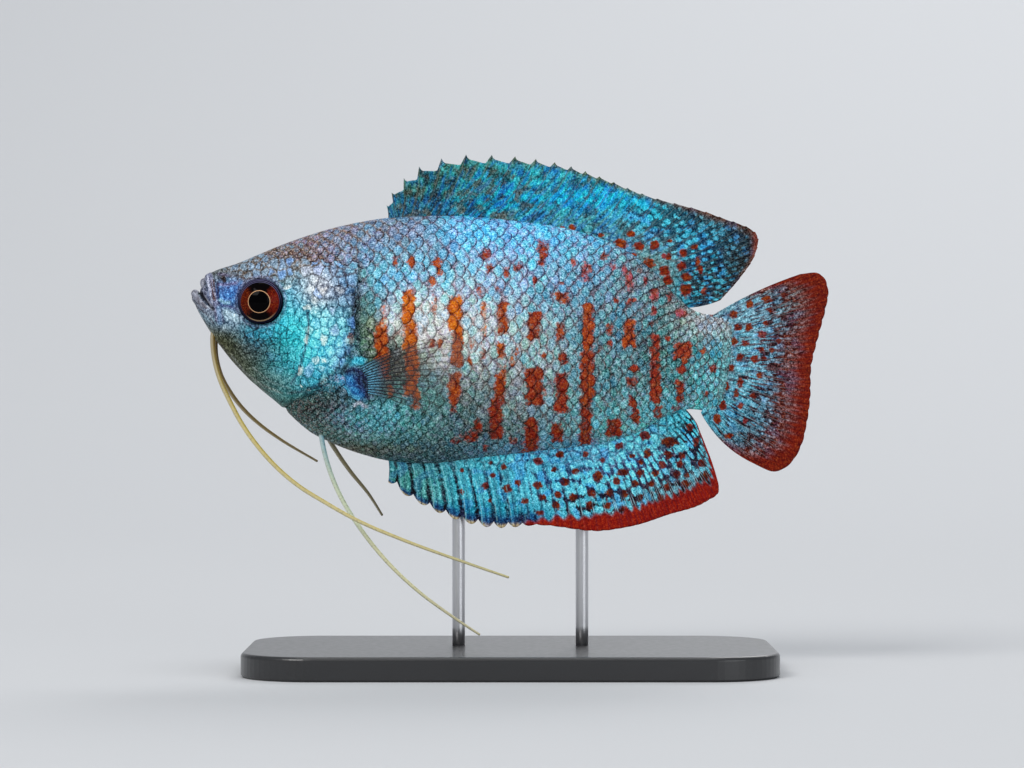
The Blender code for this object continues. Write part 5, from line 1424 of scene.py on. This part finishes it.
# Dorsal or anal fin: a web from the body's ridge to its tips, swayed by a sine that grows towards them.
def spinyFin(fin):
    fine = np.linspace(fin["rootX"][0][1] - 3, 25.4, 300)
    ridge = trunk(fine, np.full_like(fine, fin["sign"] * math.pi / 2))[:, [0, 2]]

    def root(share):  # on the ridge, sunk into the body by half a millimetre
        x = smoothCurve(fin["rootX"], share)
        return np.column_stack([x, np.interp(x, ridge[:, 0], ridge[:, 1]) - fin["sign"] * 0.5])

    ray, t, plane, length = finGrid(fin, root)
    soft = ease(ray, fin["spines"] - 2.0, fin["spines"])[:, None]
    branch = soft * fin["split"] * ease(t, *fin["splitAt"])
    middle = fin["sway"] * t ** 2 * np.sin(plane[..., 0] / fin["swayLength"])
    points, faces, uv = finMesh(fin, plane, middle, ray, t, branch, length)
    rays, run = uv["rays"].T
    right, down = toView(points)
    rear = ease(right, 610, 700)
    if fin["sign"] > 0:
        tip = ease(run, 0.88, 0.99)
        margin = [(tip * (1 - rear), (120, 128, 84), (60, 74, 44)),
                  (tip * rear, (112, 74, 56), (74, 46, 36)),
                  (ease(right, 748, 760), (160, 70, 54), (110, 44, 30))]
        size = 0.47 - 0.13 * rear + 0.04 * np.sin(rays)
        long = 1 - ease(right + (down - 200) * 0.3, 600, 670) * 0.95
        sheath = (1 - ease(run, 0.12, 0.34)) * ease(right, 540, 600)
        pale = 0 * run
    else:
        band = np.interp(right, [505, 528, 560, 600, 700, 716], [1.03, 0.955, 0.875, 0.815, 0.80, 0.86])
        cream = ease(run, 0.93, 0.985) * (1 - ease(right, 512, 530))
        rim = ease(run, 0.78, 0.9) * (1 - ease(right, 530, 560))
        teeth = 0.022 * np.cos(2 * math.pi * rays) + 0.012 * np.sin(rays * 5.3) + 0.01 * np.sin(rays * 2.3)
        red = ease(run + teeth, band - 0.025, band + 0.025) * ease(right, 510, 530)
        margin = [(rim * 0.8, (20, 62, 130), (8, 18, 56)), (cream, (236, 214, 160), (176, 140, 84)),
                  (red, (168, 28, 0), (116, 8, 0))]
        size = 0.57 - 0.10 * ease(right, 560, 640)
        long = (1 - ease(right, 480, 600)) * 0.8
        sheath = (1 - ease(run, 0.10, 0.34)) * ease(right, 430, 500)
        pale = ease(run, band - 0.2, band - 0.06) * (1 - red) * ease(right, 540, 600)
    tones = finTones(fin, points, margin)
    plan = np.column_stack([size, long, np.clip(margin[-1][0], 0, 1)])
    finPiece(fin, points, faces, uv, tones, plan, sheath, pale, soft)


# Piece with its tones, the size, length and stillness of its marks, and its sheath, split and pale rays.
def finPiece(fin, points, faces, uv, tones, plan, sheath, pale, soft):
    columns = len(soft)
    split = np.tile(np.repeat(soft.ravel(), len(points) // 2 // columns), 2)
    layers = dict(zip(("marks", "ground", "redTone"), tones), plan=plan)
    layers["extra"] = np.column_stack([sheath, split, pale])
    piece = makePiece(fin["name"], points, faces, uv, layers)
    finishPiece(piece, fin["node"], finFinish(fin), fin["node"])


spinyFin(dorsal)
spinyFin(anal)


# Tail fin: a web from the rounded end of the stalk to its tips, swayed the same way.
def caudalFin(fin):
    high, low = fin["rootZ"]
    last = fin["rays"] - 1

    def root(share):
        z = high + (low - high) * share
        lean = body["stalkLean"] * (z - (high + low) / 2)
        return np.column_stack([fin["rootX"] + lean + fin["rootRound"] * (1 - (2 * share - 1) ** 2), z])

    ray, t, plane, length = finGrid(fin, root)
    soft = (ease(ray, 0.2, 1.2) * (1 - ease(ray, last - 1.2, last - 0.2)))[:, None]
    middle = fin["sway"] * t ** 2 * np.sin((plane[..., 1] - 38.0) / fin["swayLength"])
    branch = soft * fin["split"] * ease(t, *fin["splitAt"])
    points, faces, uv = finMesh(fin, plane, middle, ray, t, branch, length)
    rays, run = uv["rays"].T
    across = rays / last
    wave = 0.03 * np.sin(rays * 12.6 + 0.8) + 0.02 * np.sin(rays * 5.1) + 0.015 * np.sin(rays * 2.1)
    band = np.interp(across, [0, 0.05, 0.2, 0.8, 0.93, 1.0], [0.62, 0.76, 0.85, 0.86, 0.76, 0.60])
    dusk = ease(run + wave, band - 0.30, band - 0.06)
    band = ease(run + wave, band - 0.11, band + 0.07)
    edge = ease(run, 0.3, 0.5) * np.maximum(1 - ease(across, 0.02, 0.06), ease(across, 0.94, 0.98))
    margin = [(edge * 0.8, (132, 76, 50), (92, 48, 32)), (dusk * 0.62, (130, 78, 66), (112, 34, 8)),
              (band, (136, 28, 0), (80, 14, 0))]
    inner = 1 - ease(run, 0.2, 0.7)
    plan = np.column_stack([0.36 + 0.19 * inner, 0.25 + 0.55 * inner, band])
    sheath = 1 - ease(run, 0.08, 0.26)
    finPiece(fin, points, faces, uv, finTones(fin, points, margin), plan, sheath, 0.65 * (1 - band), soft)


caudalFin(caudal)


pectoral = {
    "rays": 14, "root": [(-18.6, 37.9), (-17.7, 36.4), (-17.6, 34.6)],
    "bow": [(0.0, 0.04), (1.0, 0.04)], "saw": False,
    "tips": [(0.0, -6.7, 42.3), (0.17, -5.8, 41.0), (0.34, -5.7, 39.1), (0.5, -6.2, 37.0),
             (0.67, -7.1, 35.0), (0.84, -8.4, 33.1), (1.0, -9.8, 31.7)],
    "spacing": [(0, 0.0), (13, 1.0)], "columns": [(0, 0.0), (13, 13.0)], "pitch": 1.0,
    "split": 0.14, "splitAt": (0.45, 0.95),
    "notch": [(0.0, 0.02), (1.0, 0.04)], "spread": 0.24, "cupped": 0.5,
    "thick": (0.22, 0.05), "ridge": (0.07, 0.04),
}


# Clear web with thin dark rays that fade towards their tips, pale blue near the root as a painted
# highlight.
def pectoralFinish(fin):
    f = Finish("clearWeb")
    ray, t = f.uv("rays")
    fine = f.mapNoise("rays", 3.0, 30.0, 2.0)
    split = t.ease(*fin["splitAt"]) * fin["split"]
    width = t.ease(0.0, 0.9, 0.25, 0.075)
    beside = abs((ray + 0.5).part() - 0.5)
    line = 1 - (abs(beside - split) / width).ease(0.5, 1.1)
    # pale blue near the root: a painted highlight at the foot of the rays
    web = f.mix(t.ease(0.05, 0.26), tint(120, 196, 232), tint(120, 128, 126))
    tone = f.mix(line, web, f.mix(t.ease(0.15, 0.8), tint(6, 10, 28), tint(70, 62, 58)))
    alpha = 0.05 + 0.03 * t + (1 - t.ease(0.03, 0.24)) * 0.6 * fine.ease(0.35, 0.6)
    alpha = alpha.most(line * t.ease(0.10, 0.85, 0.92, 0.24))
    return f.surface(Base_Color=tone, Alpha=alpha, Roughness=0.4 + 0.2 * fine, Specular_IOR_Level=0.15,
                     Normal=f.bump(fine, 0.02, 0.3))


# Breast fins: webs that stand off the flank by a share of their length, cupped across the rays.
def pectoralFins(fin):
    line = smoothPath(fin["root"], 60)
    even = np.linspace(0, 1, len(line))

    def root(share):
        return np.column_stack([np.interp(share, even, line[:, i]) for i in (0, 1)])

    ray, t, plane, length = finGrid(fin, root, rows=40)
    cupped = fin["cupped"] * np.sin(math.pi * ray / (fin["rays"] - 1))[:, None] * t
    away = halfWidthAt(plane[:, :1, 0], plane[:, :1, 1])
    middle = -away - fin["spread"] * (plane[..., 0] - fin["root"][0][0]) - cupped
    branch = fin["split"] * ease(t, *fin["splitAt"])
    points, faces, uv = finMesh(fin, plane, middle, ray, t, branch, length)
    finish = pectoralFinish(fin)
    for side, name in ((-1, "left"), (1, "right")):
        turned = points if side < 0 else points * (1, -1, 1)
        wound = faces if side < 0 else [f[:, ::-1] for f in faces]
        piece = makePiece("breast_web_" + name, turned, wound, uv)
        finishPiece(piece, "pectoral_fin", finish, "pectoral_fin_" + name)


pectoralFins(pectoral)
print("fins made")


# Stand

stand = {
    "size": (66.0, 38.0, 3.0), "corner": 9.0, "round": 0.5, "chamfer": 0.3,
    "rodRadius": 0.8, "rodY": 1.9, "rodX": (-6.5, 9.0), "rodInPlate": 0.2, "rodInBelly": 3.5,
    "rodRings": 12,
}


# Rings of a rounded plate: a chamfer at its foot, and a quarter circle at its upper edge.
def makeStand(s=stand):
    length, depth, height = s["size"]
    quarter = np.linspace(0, math.pi / 2, 17)
    turn = np.concatenate([quarter + k * math.pi / 2 for k in range(4)])
    signs = np.repeat([(1, 1), (-1, 1), (-1, -1), (1, -1)], len(quarter), axis=0)
    centre = signs * (length / 2 - s["corner"], depth / 2 - s["corner"])
    outward = np.column_stack([np.cos(turn), np.sin(turn)])
    bend = np.linspace(0, math.pi / 2, 7)
    inset = np.concatenate([[s["chamfer"], 0.0], s["round"] * (1 - np.cos(bend))])
    z = np.concatenate([[0.0, s["chamfer"]], height - s["round"] + s["round"] * np.sin(bend)])
    rings = [np.column_stack([centre + (s["corner"] - i) * outward, np.full(len(turn), h)])
             for i, h in zip(inset, z)]
    points = np.vstack([*rings, [(0, 0, 0)], [(0, 0, height)]])
    f = Finish("standLacquer")
    fine, broad = f.noise(0.8, 3.0), f.noise(14.0, 2.0)
    tone = f.mix(broad, (0.012, 0.012, 0.013), (0.022, 0.022, 0.024))
    finish = f.surface(Base_Color=tone, Roughness=0.30 + 0.12 * fine, Coat_Weight=0.3, Coat_Roughness=0.12,
                       Normal=f.bump(fine, 0.02, 0.3))
    plate = makePiece("display_plate", points, ringFaces(len(rings), len(turn)), smooth=False)
    finishPiece(plate, "stand_base", finish, "stand_base")
    f = Finish("rodSteel")
    brushed = f.mapNoise("strip", 3.0, 60.0, 3.0)
    tone = f.mix(brushed, (0.50, 0.50, 0.52), (0.74, 0.74, 0.76))
    steel = f.surface(Base_Color=tone, Metallic=1.0, Roughness=0.24 + 0.18 * brushed)
    for name, x in zip(("front", "rear"), s["rodX"]):
        top = float(smoothCurve(body["belly"], x)) + s["rodInBelly"]
        rise = np.linspace(height - s["rodInPlate"], top, s["rodRings"])
        path = np.column_stack([np.full_like(rise, x), np.full_like(rise, s["rodY"]), rise])
        rod = sweptTube("display_rod_" + name, path, np.full_like(rise, s["rodRadius"]), 40)
        finishPiece(rod, "stand_rod", steel, "stand_rod_" + name)


makeStand()
print("stand made")
